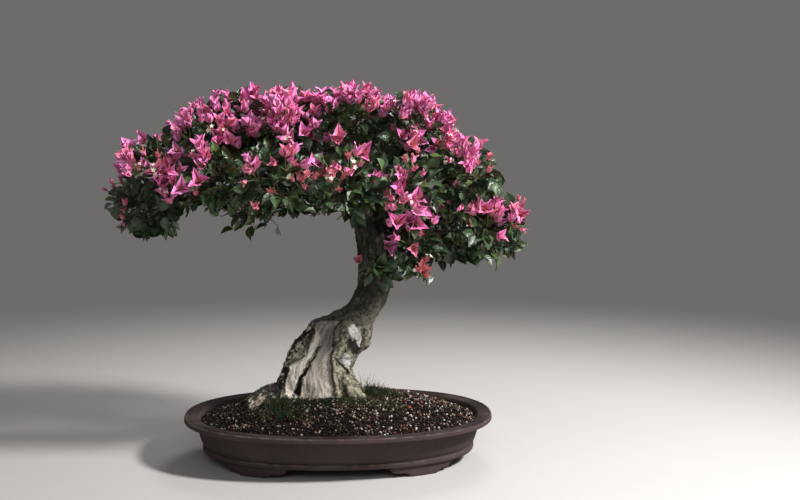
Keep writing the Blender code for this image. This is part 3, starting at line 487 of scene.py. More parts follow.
def arc_places(starts, bulges, ends, shares):
    """Places at shares of the way along arcs from starts to ends, which bend towards the bulge points."""
    t = np.reshape(shares, (1, -1, 1))
    return starts[:, None] * (1 - t) ** 2 + bulges[:, None] * 2 * t * (1 - t) + ends[:, None] * t ** 2


def bent_paths(starts, ends, bulges, places):
    """Arcs from starts to ends, each with a number of even places."""
    return arc_places(starts, bulges, ends, np.linspace(0, 1, places))


# Materials


class Finish:
    """One Principled material, built node by node."""

    def __init__(self, name, **plain):
        self.material = bpy.data.materials.new(name)
        self.material.use_nodes = True
        self.nodes = self.material.node_tree.nodes
        self.links = self.material.node_tree.links
        self.shader = self.nodes["Principled BSDF"]
        for socket, value in plain.items():
            self.shader.inputs[socket.replace("_", " ")].default_value = value

    def put(self, socket, value):
        if isinstance(value, bpy.types.NodeSocket):
            self.links.new(value, socket)
        elif isinstance(value, tuple) and len(value) == 3 and socket.type == "RGBA":
            socket.default_value = (*value, 1)
        else:
            socket.default_value = value

    def node(self, kind, **inputs):
        made = self.nodes.new("ShaderNode" + kind)
        for name, value in inputs.items():
            self.put(made.inputs[name], value)
        return made

    def place(self):
        return self.node("TexCoord").outputs["Object"]

    def attribute(self, name):
        """The three parts of a value kept at the mesh's points."""
        made = self.node("Attribute")
        made.attribute_name = name
        parts = self.node("SeparateXYZ", Vector=made.outputs["Vector"]).outputs
        return made.outputs["Vector"], parts["X"], parts["Y"], parts["Z"]

    def noise(self, scale, detail=3.0, place=None, roughness=0.55):
        place = self.place() if place is None else place
        texture = self.node("TexNoise", Vector=place, Scale=scale, Detail=detail, Roughness=roughness)
        return texture.outputs["Fac"]

    def cells(self, scale, place=None, feature="F1", output="Distance", randomness=1.0):
        place = self.place() if place is None else place
        made = self.node("TexVoronoi", Vector=place, Scale=scale, Randomness=randomness)
        made.feature = feature
        return made.outputs[output]

    def ramp(self, share, *stops, steps=False):
        """Colours at places along a share, given as (place, colour), blended or in steps."""
        made = self.node("ValToRGB", Fac=share)
        made.color_ramp.interpolation = "CONSTANT" if steps else "LINEAR"
        stretch = made.color_ramp.elements
        while len(stretch) < len(stops):
            stretch.new(1.0)
        for element, (place, colour) in zip(stretch, stops):
            element.position = place
            element.color = (*colour, 1) if isinstance(colour, tuple) else (colour, colour, colour, 1)
        return made.outputs["Color"]

    def fade(self, share, low, high):
        """0 below low, 1 above high, smooth between."""
        made = self.node("MapRange")
        made.interpolation_type = "SMOOTHSTEP"
        self.put(made.inputs["Value"], share)
        self.put(made.inputs["From Min"], low)
        self.put(made.inputs["From Max"], high)
        return made.outputs["Result"]

    def math(self, operation, first, second=0.0):
        made = self.node("Math")
        made.operation = operation
        self.put(made.inputs[0], first)
        self.put(made.inputs[1], second)
        return made.outputs["Value"]

    def times(self, first, second):
        return self.math("MULTIPLY", first, second)

    def tint(self, colour, share, strength, other):
        """The colour turned towards another one by a share of the strength."""
        return self.mix(self.times(share, strength), colour, other)

    def mix(self, share, first, second, blend="MIX"):
        made = self.node("Mix")
        made.data_type = "RGBA"
        made.blend_type = blend
        self.put(made.inputs["Factor"], share)
        self.put(made.inputs[6], first)
        self.put(made.inputs[7], second)
        return made.outputs[2]

    def bump(self, height, distance, strength=1.0, normal=None):
        made = self.node("Bump", Height=height, Distance=distance, Strength=strength)
        if normal is not None:
            self.links.new(normal, made.inputs["Normal"])
        return made.outputs["Normal"]

    def done(self, colour, roughness, normal=None):
        self.put(self.shader.inputs["Base Color"], colour)
        self.put(self.shader.inputs["Roughness"], roughness)
        if normal is not None:
            self.put(self.shader.inputs["Normal"], normal)
        return self.material


def clay_finish():
    """Unglazed dark clay: fine mottling, pale dust and specks, worn edges on the lip and the band, and
    painted shade in patches on the lip's top.
    """
    f = Finish("unglazed_clay", Specular_IOR_Level=0.08)
    broad = f.noise(9.0, 4.0)
    colour = f.ramp(broad, (0.30, (0.041, 0.0300, 0.0275)), (0.70, (0.067, 0.0500, 0.0465)))
    colour = f.mix(f.fade(f.noise(420.0, 3.0), 0.45, 0.75), colour, (0.066, 0.045, 0.040))
    colour = f.tint(colour, f.fade(f.noise(55.0, 6.0), 0.54, 0.80), 0.30, (0.105, 0.080, 0.073))
    _, band_wear, lip_wear, shaded_lip_top = f.attribute("wear")
    # Painted shade: the lip's top is darkened in patches.
    stain = f.times(shaded_lip_top, f.fade(f.noise(16.0, 4.0), 0.25, 0.60))
    colour = f.tint(colour, stain, 0.85, (0.012, 0.0075, 0.0065))
    worn = f.times(f.math("MAXIMUM", band_wear, lip_wear), f.fade(f.noise(48.0, 6.0), 0.40, 0.66))
    colour = f.tint(colour, worn, 0.55, (0.170, 0.138, 0.127))
    speck = f.fade(f.cells(75.0), 0.060, 0.035)
    rare = f.fade(f.noise(26.0, 1.0), 0.60, 0.66)
    colour = f.mix(f.times(speck, rare), colour, (0.48, 0.45, 0.42))
    pits = f.bump(f.noise(900.0, 2.0), 0.0004, 0.5)
    normal = f.bump(f.noise(60.0, 4.0), 0.0010, 0.45, pits)
    return f.done(colour, f.ramp(broad, (0.3, 0.62), (0.7, 0.80)), normal)


def drain_mesh_finish():
    """Dark grey-green plastic with a film of dust."""
    f = Finish("drain_mesh_plastic")
    dust = f.fade(f.noise(160.0, 4.0), 0.45, 0.7)
    colour = f.mix(dust, (0.018, 0.022, 0.020), (0.060, 0.055, 0.046))
    return f.done(colour, f.ramp(dust, (0.0, 0.45), (1.0, 0.8)), f.bump(f.noise(700.0), 0.0003, 0.4))


def soil_finish():
    """The dark fines between the grains."""
    f = Finish("soil_fines", Specular_IOR_Level=0.10)
    colour = f.ramp(f.noise(500.0, 4.0), (0.35, (0.004, 0.003, 0.003)), (0.7, (0.022, 0.015, 0.013)))
    return f.done(colour, 0.95, f.bump(f.cells(350.0), 0.002, 1.0))


def grain_finish():
    """Grit and litter: lava, pumice and baked clay, each grain with its own tone, dry plant chips, and
    painted shade on the grains to the left.
    """
    f = Finish("grit_grains", Specular_IOR_Level=0.20)
    _, tone, shade, litter = f.attribute("tone")
    stone = f.ramp(
        tone, (0.00, (0.003, 0.002, 0.002)), (0.30, (0.009, 0.005, 0.004)), (0.50, (0.026, 0.014, 0.011)),
        (0.62, (0.085, 0.048, 0.038)), (0.71, (0.010, 0.006, 0.005)), (0.78, (0.190, 0.120, 0.098)),
        (0.85, (0.044, 0.025, 0.020)), (0.885, (0.430, 0.320, 0.280)), (RED_TONE, (0.340, 0.085, 0.052)),
        (PALE_TONE, (0.720, 0.680, 0.645)), steps=True)
    speck = f.noise(1400.0, 3.0)
    colour = f.mix(0.75, stone, f.ramp(speck, (0.3, 0.35), (0.7, 1.0)), "MULTIPLY")
    chips = f.ramp(tone, (0.0, (0.010, 0.008, 0.005)), (0.50, (0.050, 0.040, 0.022)),
                   (0.80, (0.160, 0.125, 0.078)), (1.0, (0.440, 0.360, 0.260)))
    # Painted shade darkens the grains to the left.
    colour = f.tint(f.mix(litter, colour, chips), shade, 0.5, (0.009, 0.006, 0.005))
    return f.done(colour, 0.88, f.bump(speck, 0.0006, 0.7))


def living_bark(f, relief, streak, plates, mottle, flecks, height, dark):
    """Near-black brown bark above, mottled green-brown bark below, and rough dark bark where dark is 1, which
    takes in painted shade in the crack.
    """
    rough_streak = f.math("ADD", f.times(streak, 0.5), f.times(mottle, 0.5))
    high_bark = f.ramp(rough_streak, (0.38, (0.010, 0.009, 0.006)), (0.51, (0.032, 0.029, 0.019)),
                       (0.65, (0.130, 0.120, 0.082)))
    rise = f.math("ADD", f.times(relief, 0.5), f.times(plates, 0.5))
    low_bark = f.ramp(rise, (0.30, (0.018, 0.014, 0.009)), (0.41, (0.125, 0.112, 0.076)),
                      (0.53, (0.235, 0.215, 0.155)), (0.68, (0.450, 0.415, 0.330)))
    low_bark = f.mix(f.fade(flecks, 0.55, 0.64), low_bark, (0.40, 0.36, 0.29))
    low_bark = f.mix(f.fade(flecks, 0.38, 0.31), low_bark, (0.014, 0.011, 0.008))
    crests = f.math("ADD", f.times(relief, 0.50), f.times(mottle, 0.20))
    crests = f.math("ADD", crests, f.times(flecks, 0.30))
    dark_bark = f.ramp(crests, (0.46, (0.005, 0.004, 0.003)), (0.52, (0.022, 0.018, 0.013)),
                       (0.57, (0.170, 0.140, 0.108)), (0.66, (0.560, 0.500, 0.420)))
    return f.mix(dark, f.mix(height, low_bark, high_bark), dark_bark)


def bare_wood(f, grain, streak, purple, cream):
    """Silvery deadwood with a grey-purple stretch, a cream stretch and fine dark wrinkles."""
    dead = f.ramp(streak, (0.28, (0.115, 0.092, 0.076)), (0.44, (0.280, 0.243, 0.207)),
                  (0.60, (0.420, 0.378, 0.330)), (0.78, (0.570, 0.523, 0.465)))
    grey = f.ramp(streak, (0.30, (0.135, 0.108, 0.105)), (0.70, (0.285, 0.238, 0.230)))
    dead = f.mix(f.times(purple, f.fade(streak, 0.72, 0.42)), dead, grey)
    dead = f.mix(f.times(cream, f.fade(streak, 0.20, 0.50)), dead, (0.840, 0.775, 0.685))
    wrinkles = f.fade(f.noise(520.0, 4.0, grain, 0.6), 0.46, 0.36)
    return f.tint(dead, wrinkles, 0.45, (0.120, 0.095, 0.080))


def bark_finish():
    """Living bark, bare silvery deadwood and lichen, laid out by values kept at the points, with painted
    shade in the crack, the furrow and along the bark's edges.
    """
    f = Finish("bark_and_deadwood")
    _, wood, pale, dark = f.attribute("cover")
    _, purple, moss, height = f.attribute("stain")
    _, deep, end_wood, relief = f.attribute("depth")
    _, cream, knuckle, _ = f.attribute("tint")
    grain, _, _, _ = f.attribute("grain")
    streak = f.noise(170.0, 5.0, grain, 0.6)
    plates = f.noise(60.0, 5.0, grain, 0.65)
    mottle = f.noise(95.0, 5.0, None, 0.65)
    flecks = f.noise(230.0, 4.0, None, 0.6)
    bark = living_bark(f, relief, streak, plates, mottle, flecks, height, dark)
    shadow = f.times(knuckle, f.fade(mottle, 0.66, 0.54))
    # Painted shade, near black, in the crack, along the bark's edges and in the furrow; the knuckle's dark
    # top and the dark patch are darkened with it.
    bark = f.mix(f.math("MAXIMUM", deep, shadow), bark, (0.006, 0.005, 0.004))
    moss_share = f.times(moss, f.fade(f.noise(140.0, 4.0), 0.44, 0.62))
    bark = f.mix(moss_share, bark, (0.030, 0.040, 0.014))
    colour = f.mix(wood, bark, bare_wood(f, grain, streak, purple, cream))
    cut_end = f.ramp(flecks, (0.40, (0.050, 0.040, 0.028)), (0.60, (0.330, 0.270, 0.200)))
    colour = f.mix(end_wood, colour, cut_end)
    white = f.mix(f.fade(flecks, 0.38, 0.56), (0.50, 0.48, 0.45), (0.82, 0.80, 0.78))
    colour = f.mix(pale, colour, white)
    rough = f.bump(f.noise(420.0, 4.0, grain), 0.0014, 0.8)
    rugged = f.bump(f.times(flecks, f.math("SUBTRACT", 1.0, wood)), 0.0040, 0.9, rough)
    normal = f.bump(streak, 0.0026, 0.9, rugged)
    return f.done(colour, f.ramp(streak, (0.3, 0.75), (0.7, 0.92)), normal)


def twig_finish():
    f = Finish("twig_bark")
    streak = f.noise(260.0, 4.0)
    colour = f.ramp(streak, (0.35, (0.028, 0.022, 0.013)), (0.55, (0.075, 0.066, 0.038)),
                    (0.75, (0.160, 0.140, 0.100)))
    return f.done(colour, 0.8, f.bump(streak, 0.0006, 0.6))


def vein_share(f, along, across, count, slant):
    """1 on the side veins of a blade and 0 between them."""
    reach = f.math("ABSOLUTE", across)
    phase = f.math("SUBTRACT", f.times(along, count), f.times(reach, slant))
    wave = f.math("ABSOLUTE", f.math("SUBTRACT", f.math("FRACT", phase), 0.5))
    return f.fade(wave, 0.40, 0.48)


def leaf_finish():
    """Dark green, slightly glossy, paler below, with a pale midrib."""
    f = Finish("leaf_green", Subsurface_Weight=0.05, Subsurface_Scale=0.002, Specular_IOR_Level=0.60)
    _, along, across, chance = f.attribute("blade")
    _, under, fresh, _ = f.attribute("side")
    midrib = f.fade(f.math("ABSOLUTE", across), 0.085, 0.02)
    veins = vein_share(f, along, across, 7.0, 1.6)
    colour = f.ramp(chance, (0.0, (0.006, 0.016, 0.007)), (0.35, (0.013, 0.034, 0.013)),
                    (0.70, (0.033, 0.070, 0.024)), (1.0, (0.090, 0.145, 0.050)))
    colour = f.tint(colour, f.fade(f.noise(90.0, 4.0), 0.45, 0.75), 0.6, (0.034, 0.056, 0.022))
    colour = f.tint(colour, veins, 0.30, (0.060, 0.090, 0.040))
    colour = f.tint(colour, midrib, 0.55, (0.110, 0.150, 0.070))
    colour = f.mix(fresh, colour, (0.120, 0.165, 0.045))
    colour = f.tint(colour, under, 0.75, (0.055, 0.085, 0.045))
    relief = f.math("ADD", f.times(veins, 0.5), midrib)
    normal = f.bump(relief, -0.0008, 0.7, f.bump(f.noise(240.0, 3.0), 0.0016, 0.6))
    return f.done(colour, f.ramp(chance, (0.0, 0.27), (1.0, 0.42)), normal)


def bract_finish(name, deep, bright, base):
    """Papery bract: darker veins, a paler rim and another tone at the foot."""
    f = Finish(name, Subsurface_Weight=0.12, Subsurface_Scale=0.002, Specular_IOR_Level=0.12)
    _, along, across, chance = f.attribute("blade")
    _, under, warm, _ = f.attribute("side")
    off_middle = f.math("ABSOLUTE", across)
    midrib = f.fade(off_middle, 0.19, 0.07)
    veins = vein_share(f, along, across, 6.0, 1.9)
    colour = f.tint(f.mix(chance, deep, bright), warm, 0.85, (0.820, 0.210, 0.270))
    colour = f.tint(colour, f.fade(along, 0.50, 0.05), 0.68, base)
    colour = f.tint(colour, f.fade(off_middle, 0.55, 1.0), 0.40, (1.000, 0.360, 0.690))
    colour = f.mix(f.math("MAXIMUM", f.times(veins, 0.50), midrib), colour, (0.220, 0.012, 0.050))
    colour = f.tint(colour, under, 0.30, (0.940, 0.290, 0.510))
    crinkle = f.bump(f.noise(260.0, 3.0), 0.0009, 0.6)
    normal = f.bump(f.math("MAXIMUM", veins, midrib), 0.0007, 0.7, crinkle)
    return f.done(colour, 0.62, normal)


def moss_finish():
    """Dark green moss and grass with olive and straw-coloured blades among it."""
    f = Finish("moss_and_grass", Specular_IOR_Level=0.15)
    _, chance, height, litter = f.attribute("blade")
    colour = f.ramp(chance, (0.0, (0.003, 0.009, 0.003)), (0.55, (0.008, 0.021, 0.007)),
                    (0.88, (0.023, 0.037, 0.013)), (1.0, (0.118, 0.110, 0.055)))
    dry = f.ramp(chance, (0.0, (0.007, 0.006, 0.003)), (0.45, (0.024, 0.023, 0.011)),
                 (0.75, (0.060, 0.050, 0.028)), (1.0, (0.225, 0.180, 0.120)))
    colour = f.tint(colour, height, 0.17, (0.042, 0.064, 0.025))
    return f.done(f.mix(litter, colour, dry), 0.7)


def plain_finish(name, low, high, scale, roughness, **plain):
    """A finish of two close tones with a fine grain."""
    f = Finish(name, **plain)
    share = f.noise(scale, 3.0)
    return f.done(f.ramp(share, (0.35, low), (0.65, high)), roughness, f.bump(share, 0.0004, 0.4))


# Pot, drain mesh and grit


def rim_points(angles, inset, height):
    """Points on the pot's oval, drawn in by an inset, from its middle."""
    c = np.cos(angles)
    s = np.sin(angles)
    x = np.sign(c) * np.abs(c) ** (2 / RIM_POWER) * (RIM_LENGTH / 2 - inset)
    y = np.sign(s) * np.abs(s) ** (2 / RIM_POWER) * (RIM_DEPTH / 2 - inset)
    return np.stack([x + POT_X, y, np.broadcast_to(height, x.shape)], axis=-1)


def even_angles(count):
    """Angles that step evenly along the oval, so that its ends aren't coarse."""
    fine = np.linspace(0, 2 * math.pi, 4001)
    line = rim_points(fine, 0.0, 0.0)
    length = np.concatenate([[0], np.cumsum(np.linalg.norm(np.diff(line, axis=0), axis=1))])
    return np.interp(np.linspace(0, length[-1], count, endpoint=False), length, fine)


def rounded(rows):
    """A profile whose corners are turned into short arcs."""
    line = [rows[0][:2]]
    for before, (inset, height, reach), after in zip(rows, rows[1:-1], rows[2:]):
        corner = np.array((inset, height))
        ends = []
        for other in (before, after):
            way = np.array(other[:2]) - corner
            length = np.linalg.norm(way)
            ends.append(corner + way / length * min(reach, length * 0.48))
        line += list(arc_places(ends[0][None], corner[None], ends[1][None], (0.0, 0.33, 0.67, 1.0))[0])
    return np.array(line + [rows[-1][:2]])


def add_stack(batch, rings, finish=0, flip=False):
    """A closed solid through rings that all have the same number of points."""
    faces = ring_faces(len(rings), len(rings[0]))
    batch.add(np.concatenate(rings), faces[:, ::-1] if flip else faces, finish)


def foot_outline():
    """Places and heights along a cloud foot's underside, its lobes rounded and its cusps kept."""
    left = curve_through(FOOT_OUTLINE, 6)
    right = left[-2::-1] * (-1, 1)
    line = np.vstack([left, right])
    line[:, 1] = np.maximum(line[:, 1], 0.0)
    return line


def add_foot(batch, x_side, y_side):
    """One cloud foot, bent along the oval of the base."""
    corner = math.atan2(y_side, x_side)
    angles = corner + np.radians(np.arange(-44, 45, 0.25))
    off_centre = np.abs(rim_points(angles, FOOT_OUTER, 0)[:, 0] - POT_X) - FOOT_CENTRE
    base = angles[np.argmin(np.abs(off_centre))]
    step = 0.01
    near, far = rim_points(np.array((base, base + step)), FOOT_OUTER, 0)
    turn_per_metre = step / np.linalg.norm(far - near)
    top = FOOT_HEIGHT + FOOT_IN_POT
    rings = []
    for place, low in foot_outline():
        section = ((FOOT_OUTER, top), (FOOT_INNER, top), (FOOT_INNER, low), (FOOT_OUTER + 0.004, low),
                   (FOOT_OUTER + 0.0018, low + 0.0006), (FOOT_OUTER + 0.0005, low + 0.0018),
                   (FOOT_OUTER, low + 0.0038))
        angle = np.array(base + place * turn_per_metre)
        rings.append(np.array([rim_points(angle, inset, level) for inset, level in section]))
    add_stack(batch, rings, flip=True)


def cylinder(x, radius, low, high, sides=32):
    turn = 2 * math.pi * np.arange(sides) / sides
    ring = np.stack([x + radius * np.cos(turn), radius * np.sin(turn), np.full(sides, low)], axis=1)
    batch = Batch()
    add_stack(batch, [ring, ring + (0, 0, high - low)])
    return batch.make("cutter", [])


def combine(target, operation, other):
    change = target.modifiers.new("combine", "BOOLEAN")
    change.operation = operation
    change.solver = "EXACT"
    change.object = other
    apply_modifiers(target)
    bpy.data.objects.remove(other, do_unlink=True)


def make_pot(finish):
    """The oval pot with its rolled lip, concave wall, raised band, cloud feet and drain holes."""
    profile = rounded(POT_OUTSIDE + POT_INSIDE)
    angles = even_angles(POT_SIDES)
    batch = Batch()
    add_stack(batch, [rim_points(angles, inset, height) for inset, height in profile])
    pot = batch.make("pot_body", [finish], POT_SHARP)
    feet = Batch()
    for x_side in (-1, 1):
        for y_side in (-1, 1):
            add_foot(feet, x_side, y_side)
    combine(pot, "UNION", feet.make("feet", [finish], POT_SHARP))
    for side in (-1, 1):
        hole = cylinder(POT_X + side * DRAIN_X, DRAIN_RADIUS, 0.0, FLOOR_HEIGHT + 0.01)
        combine(pot, "DIFFERENCE", hole)
    shade(pot.data, POT_SHARP)
    mark_wear_and_shade(pot.data)
    declare(pot, "clay", "pot")


def mark_wear_and_shade(mesh):
    """Keeps how near each point is to the worn edges of band and lip, and whether it is on the lip's top,
    where the finish paints shade.
    """
    x, y, z = read_points(mesh).astype(np.float32).T
    outline = rim_points(np.linspace(0, 2 * math.pi, 1441), 0.0, 0.0)[:, :2]
    inset = distance_inside(np.stack([x, y], axis=1), outline)
    band = smooth_step(0.0022, 0.0004, np.hypot(inset - BAND_EDGE[0], z - BAND_EDGE[1]))
    lip = smooth_step(0.0026, 0.0006, np.hypot(inset - LIP_EDGE[0], z - LIP_EDGE[1]))
    top = smooth_step(0.0005, 0.0030, inset) * smooth_step(0.0860, 0.0868, z)
    keep_values(mesh, "wear", np.stack([band, lip, top], axis=1))


def grit_height(x, y):
    """The mound's height at a place measured in the row's frame."""
    share = np.hypot((x - POT_X) / (RIM_LENGTH / 2 - GRIT_INSET), y / (RIM_DEPTH / 2 - GRIT_INSET))
    return GRIT_EDGE + GRIT_RISE * np.maximum(0, 1 - share ** GRIT_POWER)


def make_mound(finish):
    """The body of the mound under the loose grains, fitted to the pot's inside."""
    angles = even_angles(GRIT_SIDES)
    inside = rounded([row for row in reversed(POT_INSIDE) if row[1] < GRIT_EDGE])
    rings = [rim_points(angles, inset + 0.0006, height + 0.0004) for inset, height in inside]
    edge = rim_points(angles, 0.0320, GRIT_EDGE)
    middle = np.array((POT_X, 0, 0))
    for share in np.linspace(1.0, 0.04, 26):
        ring = middle + (edge - middle) * share
        ring[:, 2] = grit_height(ring[:, 0], ring[:, 1]) - 0.0012
        rings.append(ring)
    batch = Batch()
    add_stack(batch, rings)
    declare(batch.make("grit_mound", [finish]), "grit", "grit")


def trunk_covers(x, y, share=0.9):
    """True where a place on the mound is under the foot of the trunk."""
    _, middle, half_width, half_depth = TRUNK_RINGS[2]
    across = (x - POT_X - middle) / half_width
    return np.hypot(across, (y - TRUNK_Y) / half_depth) < share


def litter_share(x, y):
    """How much of the mound's surface is plant litter, most of it in front of the trunk to the right."""
    along = smooth_step(-0.030, 0.030, x) * smooth_step(0.150, 0.090, x)
    return 0.05 + 0.65 * along * smooth_step(-0.120, -0.080, y)


def grain_spots(rng):
    """Places of the grains on the mound's open surface, off a grid by chance, and how far right each is."""
    xs = np.arange(-0.27, 0.27, GRAIN_PITCH)
    ys = np.arange(-0.196, 0.196, GRAIN_PITCH)
    x, y = (grid.ravel() for grid in np.meshgrid(xs, ys))
    x = x + POT_X + rng.uniform(-0.5, 0.5, len(x)) * GRAIN_PITCH
    y = y + rng.uniform(-0.5, 0.5, len(y)) * GRAIN_PITCH
    across = (x - POT_X) / (RIM_LENGTH / 2 - GRAIN_INSET)
    deep = y / (RIM_DEPTH / 2 - GRAIN_INSET)
    kept = (np.abs(across) ** RIM_POWER + np.abs(deep) ** RIM_POWER < 1) & ~trunk_covers(x, y)
    return x[kept], y[kept], np.clip(across[kept] * 0.5 + 0.5, 0, 1)


def ball_shape():
    """Points and triangles of a small ball."""
    ball = bmesh.new()
    bmesh.ops.create_icosphere(ball, subdivisions=1, radius=1.0)
    points = np.array([tuple(vertex.co) for vertex in ball.verts])
    faces = np.array([[vertex.index for vertex in face.verts] for face in ball.faces])
    ball.free()
    return points, faces


def knocked_balls(shape, litter, rng):
    """Balls knocked out of round and turned any way, those of litter drawn out to flat chips."""
    count = len(litter)
    stretch = rng.uniform(0.65, 1.2, (count, 1, 3)) * np.where(litter[:, None, None], (1.9, 0.8, 0.4), 1.0)
    knocked = shape[None] * rng.uniform(0.72, 1.18, (count, len(shape), 1)) * stretch
    first = unit(rng.normal(size=(count, 3)))
    second = unit(np.cross(first, rng.normal(size=(count, 3))))
    turn = np.stack([first, second, np.cross(first, second)], axis=1)
    return np.einsum("npk,nkj->npj", knocked, turn)


def make_grains(finish):
    """Loose grains on the mound, darker to the left, where shade is also painted on them, with more pale and
    red ones to the right.
    """
    rng = np.random.default_rng(21)
    x, y, to_right = grain_spots(rng)
    count = len(x)
    radius = rng.uniform(*GRAIN_RADIUS, count) * np.where(rng.random(count) < 0.07, 1.45, 1.0)
    z = grit_height(x, y) + rng.uniform(-0.0012, 0.0012, count)
    litter = rng.random(count) < litter_share(x - POT_X, y)
    shape, faces = ball_shape()
    points = knocked_balls(shape, litter, rng) * radius[:, None, None] + np.stack([x, y, z], axis=1)[:, None]
    patches = np.array([noise.noise(Vector((*place, 0.0)) * 50.0) for place in zip(x, y)])
    tone = rng.random(count) ** np.maximum(1.42 - 0.82 * to_right - 0.8 * patches, 0.35)
    tone = np.where((tone > RED_TONE) & (to_right < 0.60), tone - 0.07, tone)
    # Painted shade, strongest on the grains to the left.
    painted_left_shade = smooth_step(0.45, 0.10, to_right + rng.uniform(-0.15, 0.15, count))
    batch = Batch()
    batch.add_many(points, faces, tone=np.stack([tone, painted_left_shade, litter], axis=1)[:, None])
    declare(batch.make("grit_grains", [finish], 25), "grit")


# Tree


def trunk_stock():
    """Fine level rings of the trunk, with the root flares standing out near the soil."""
    rows = curve_through(TRUNK_RINGS, 5)
    flare = FLARE * np.clip((FLARE_TOP - rows[:, 0]) / (FLARE_TOP - TRUNK_RINGS[1][0]), 0, 1)
    angles = 2 * math.pi * np.arange(72) / 72
    rings = []
    for (height, middle, half_width, half_depth), stand_out in zip(rows, flare):
        swell = 1 + stand_out * np.cos(5 * angles + 0.6)
        rings.append(np.stack([
            POT_X + middle + half_width * swell * np.cos(angles),
            TRUNK_Y + half_depth * swell * np.sin(angles),
            np.full(len(angles), height),
        ], axis=1))
    return rings


def limb_lines():
    """The middle line and the radii of the trunk, the two roots and the main limbs."""
    rows = np.array(TRUNK_RINGS)
    stock = np.stack([rows[:, 1] + POT_X, np.full(len(rows), TRUNK_Y), rows[:, 0]], axis=1)
    lines = [(curve_through(stock, 3), curve_through(rows[:, 2:3], 3)[:, 0])]
    for places, radii in LIMBS:
        places = curve_through(places, 6) + (POT_X, 0, 0)
        shares = np.linspace(0, len(radii) - 1, len(places))
        lines.append((places, np.interp(shares, range(len(radii)), radii)))
    return lines


def welded(node):
    """A copy of a CAD node's mesh with its split points joined again."""
    made = bmesh.new()
    made.from_mesh(frame["nodes"][node].data)
    bmesh.ops.remove_doubles(made, verts=made.verts, dist=2e-5)
    return made


def wood_mesh():
    """The CAD tree and its finer stock and limbs, merged into one even skin."""
    batch = Batch()
    cad = welded("trunk")
    bmesh.ops.triangulate(cad, faces=cad.faces)
    batch.add([tuple(vertex.co) for vertex in cad.verts],
              [[vertex.index for vertex in face.verts] for face in cad.faces])
    cad.free()
    add_stack(batch, trunk_stock())
    for places, radii in limb_lines()[1:]:
        add_tubes(batch, places[None], radii[None], 20)
    tree = batch.make("tree_trunk", [])
    skin = tree.modifiers.new("skin", "REMESH")
    skin.mode = "VOXEL"
    skin.voxel_size = WOOD_VOXEL
    soften = tree.modifiers.new("soften", "SMOOTH")
    soften.factor = 0.5
    soften.iterations = 5
    apply_modifiers(tree)
    return tree


def grain_of(points):
    """Each point's two places across its nearest limb and, much shortened, its place along it."""
    best = np.full(len(points), np.inf)
    grain = np.zeros((len(points), 3))
    across_axis = np.array((0.0, 1.0, 0.0))
    for number, (line, radii) in enumerate(limb_lines()):
        start = number * LIMB_GRAIN_START
        for i in range(len(line) - 1):
            step = line[i + 1] - line[i]
            length = np.linalg.norm(step)
            way = step / length
            share = np.clip((points - line[i]) @ way / length, 0, 1)
            off = points - line[i] - share[:, None] * step
            gap = np.linalg.norm(off, axis=1) / (radii[i] + share * (radii[i + 1] - radii[i]))
            first = unit(across_axis - way * way[1])
            second = np.cross(way, first)
            values = np.stack([off @ first, off @ second, (start + share * length) * GRAIN_STRETCH], axis=1)
            nearer = gap < best
            grain[nearer] = values[nearer]
            best[nearer] = gap[nearer]
            start += length
    return grain


def front_share(normals):
    return smooth_step(0.10, -0.25, normals[:, 1])


def patch(pixels, outline, soft):
    return smooth_step(-soft, soft, distance_inside(pixels, outline))


def trunk_cover(points, normals, wobble):
    """Where the front shows bare wood, white patches, dark bark, stains and the crack, from 0 to 1."""
    pixels = photo_pixels(points) + np.stack([wobble * 1.3, wobble * 0.8], axis=1)
    front = front_share(normals)
    cover = {
        "wood": np.maximum(patch(pixels, CREAM_WOOD, 0.7), patch(pixels, CENTRE_WOOD, 0.7)),
        "purple": patch(pixels, PURPLE_WOOD, 4.5),
        "pale": np.max([patch(pixels, outline, 0.35) for outline in WHITE_PATCHES], axis=0),
        "root_end": patch(pixels, FRONT_ROOT_END, 1.0),
        "cream": patch(pixels, CREAM_WOOD, 1.5),
        "knuckle": np.maximum(patch(pixels, KNUCKLE_TOP, 2.0), patch(pixels, DARK_PATCH, 1.2)),
        "dark": patch(pixels, DARK_PATCH, 1.2),
        "crack": smooth_step(0.8, -0.6, distance_to_path(pixels, CRACK, CRACK_WIDTHS)),
        "edge": smooth_step(1.6, 0.2, np.minimum(distance_to_path(pixels, BARK_EDGE),
                                                 distance_to_path(pixels, CREAM_EDGE) + 0.3)),
        "furrow": smooth_step(1.3, 0.2, distance_to_path(pixels, RIGHT_FURROW)),
    }
    cover = {name: share * front for name, share in cover.items()}
    left = smooth_step(2.0, -2.0, pixels[:, 0] - np.interp(pixels[:, 1], *LEFT_BARK_EDGE))
    low = smooth_step(0.275, 0.255, points[:, 2])
    cover["dark"] = np.maximum(cover["dark"], left * low)
    # The back has one long strip of bare wood of its own.
    back = 1 - front
    strip = np.abs(points[:, 0] - (POT_X - 0.075 + (points[:, 2] - 0.10) * 0.42) + wobble * 0.010)
    tall = smooth_step(0.245, 0.215, points[:, 2])
    cover["wood"] = np.maximum(cover["wood"], smooth_step(0.024, 0.018, strip) * back * tall)
    return cover


def bark_push(height, cover, waves):
    """How far each point of the tree's skin moves out, for knots, ridges, bare wood, crack and furrows."""
    wood = cover["wood"]
    bark = 1 - wood
    thick = smooth_step(0.50, 0.44, height)
    ridges = bark * (0.0026 * waves["ridges"] + 0.0012 * waves["wobble"]) + wood * 0.0012 * waves["ridges"]
    push = thick * (0.0030 * waves["knots"] + ridges)
    push += waves["fine"] * (0.0004 + 0.0005 * thick)
    push += waves["rugged"] * bark * (0.0006 + 0.0014 * cover["dark"])
    push += thick * bark * 0.0012
    push -= wood * 0.0022
    push -= cover["crack"] * 0.0110
    push -= cover["edge"] * 0.0024
    push -= cover["furrow"] * 0.0030
    push += cover["pale"] * 0.0006
    return push


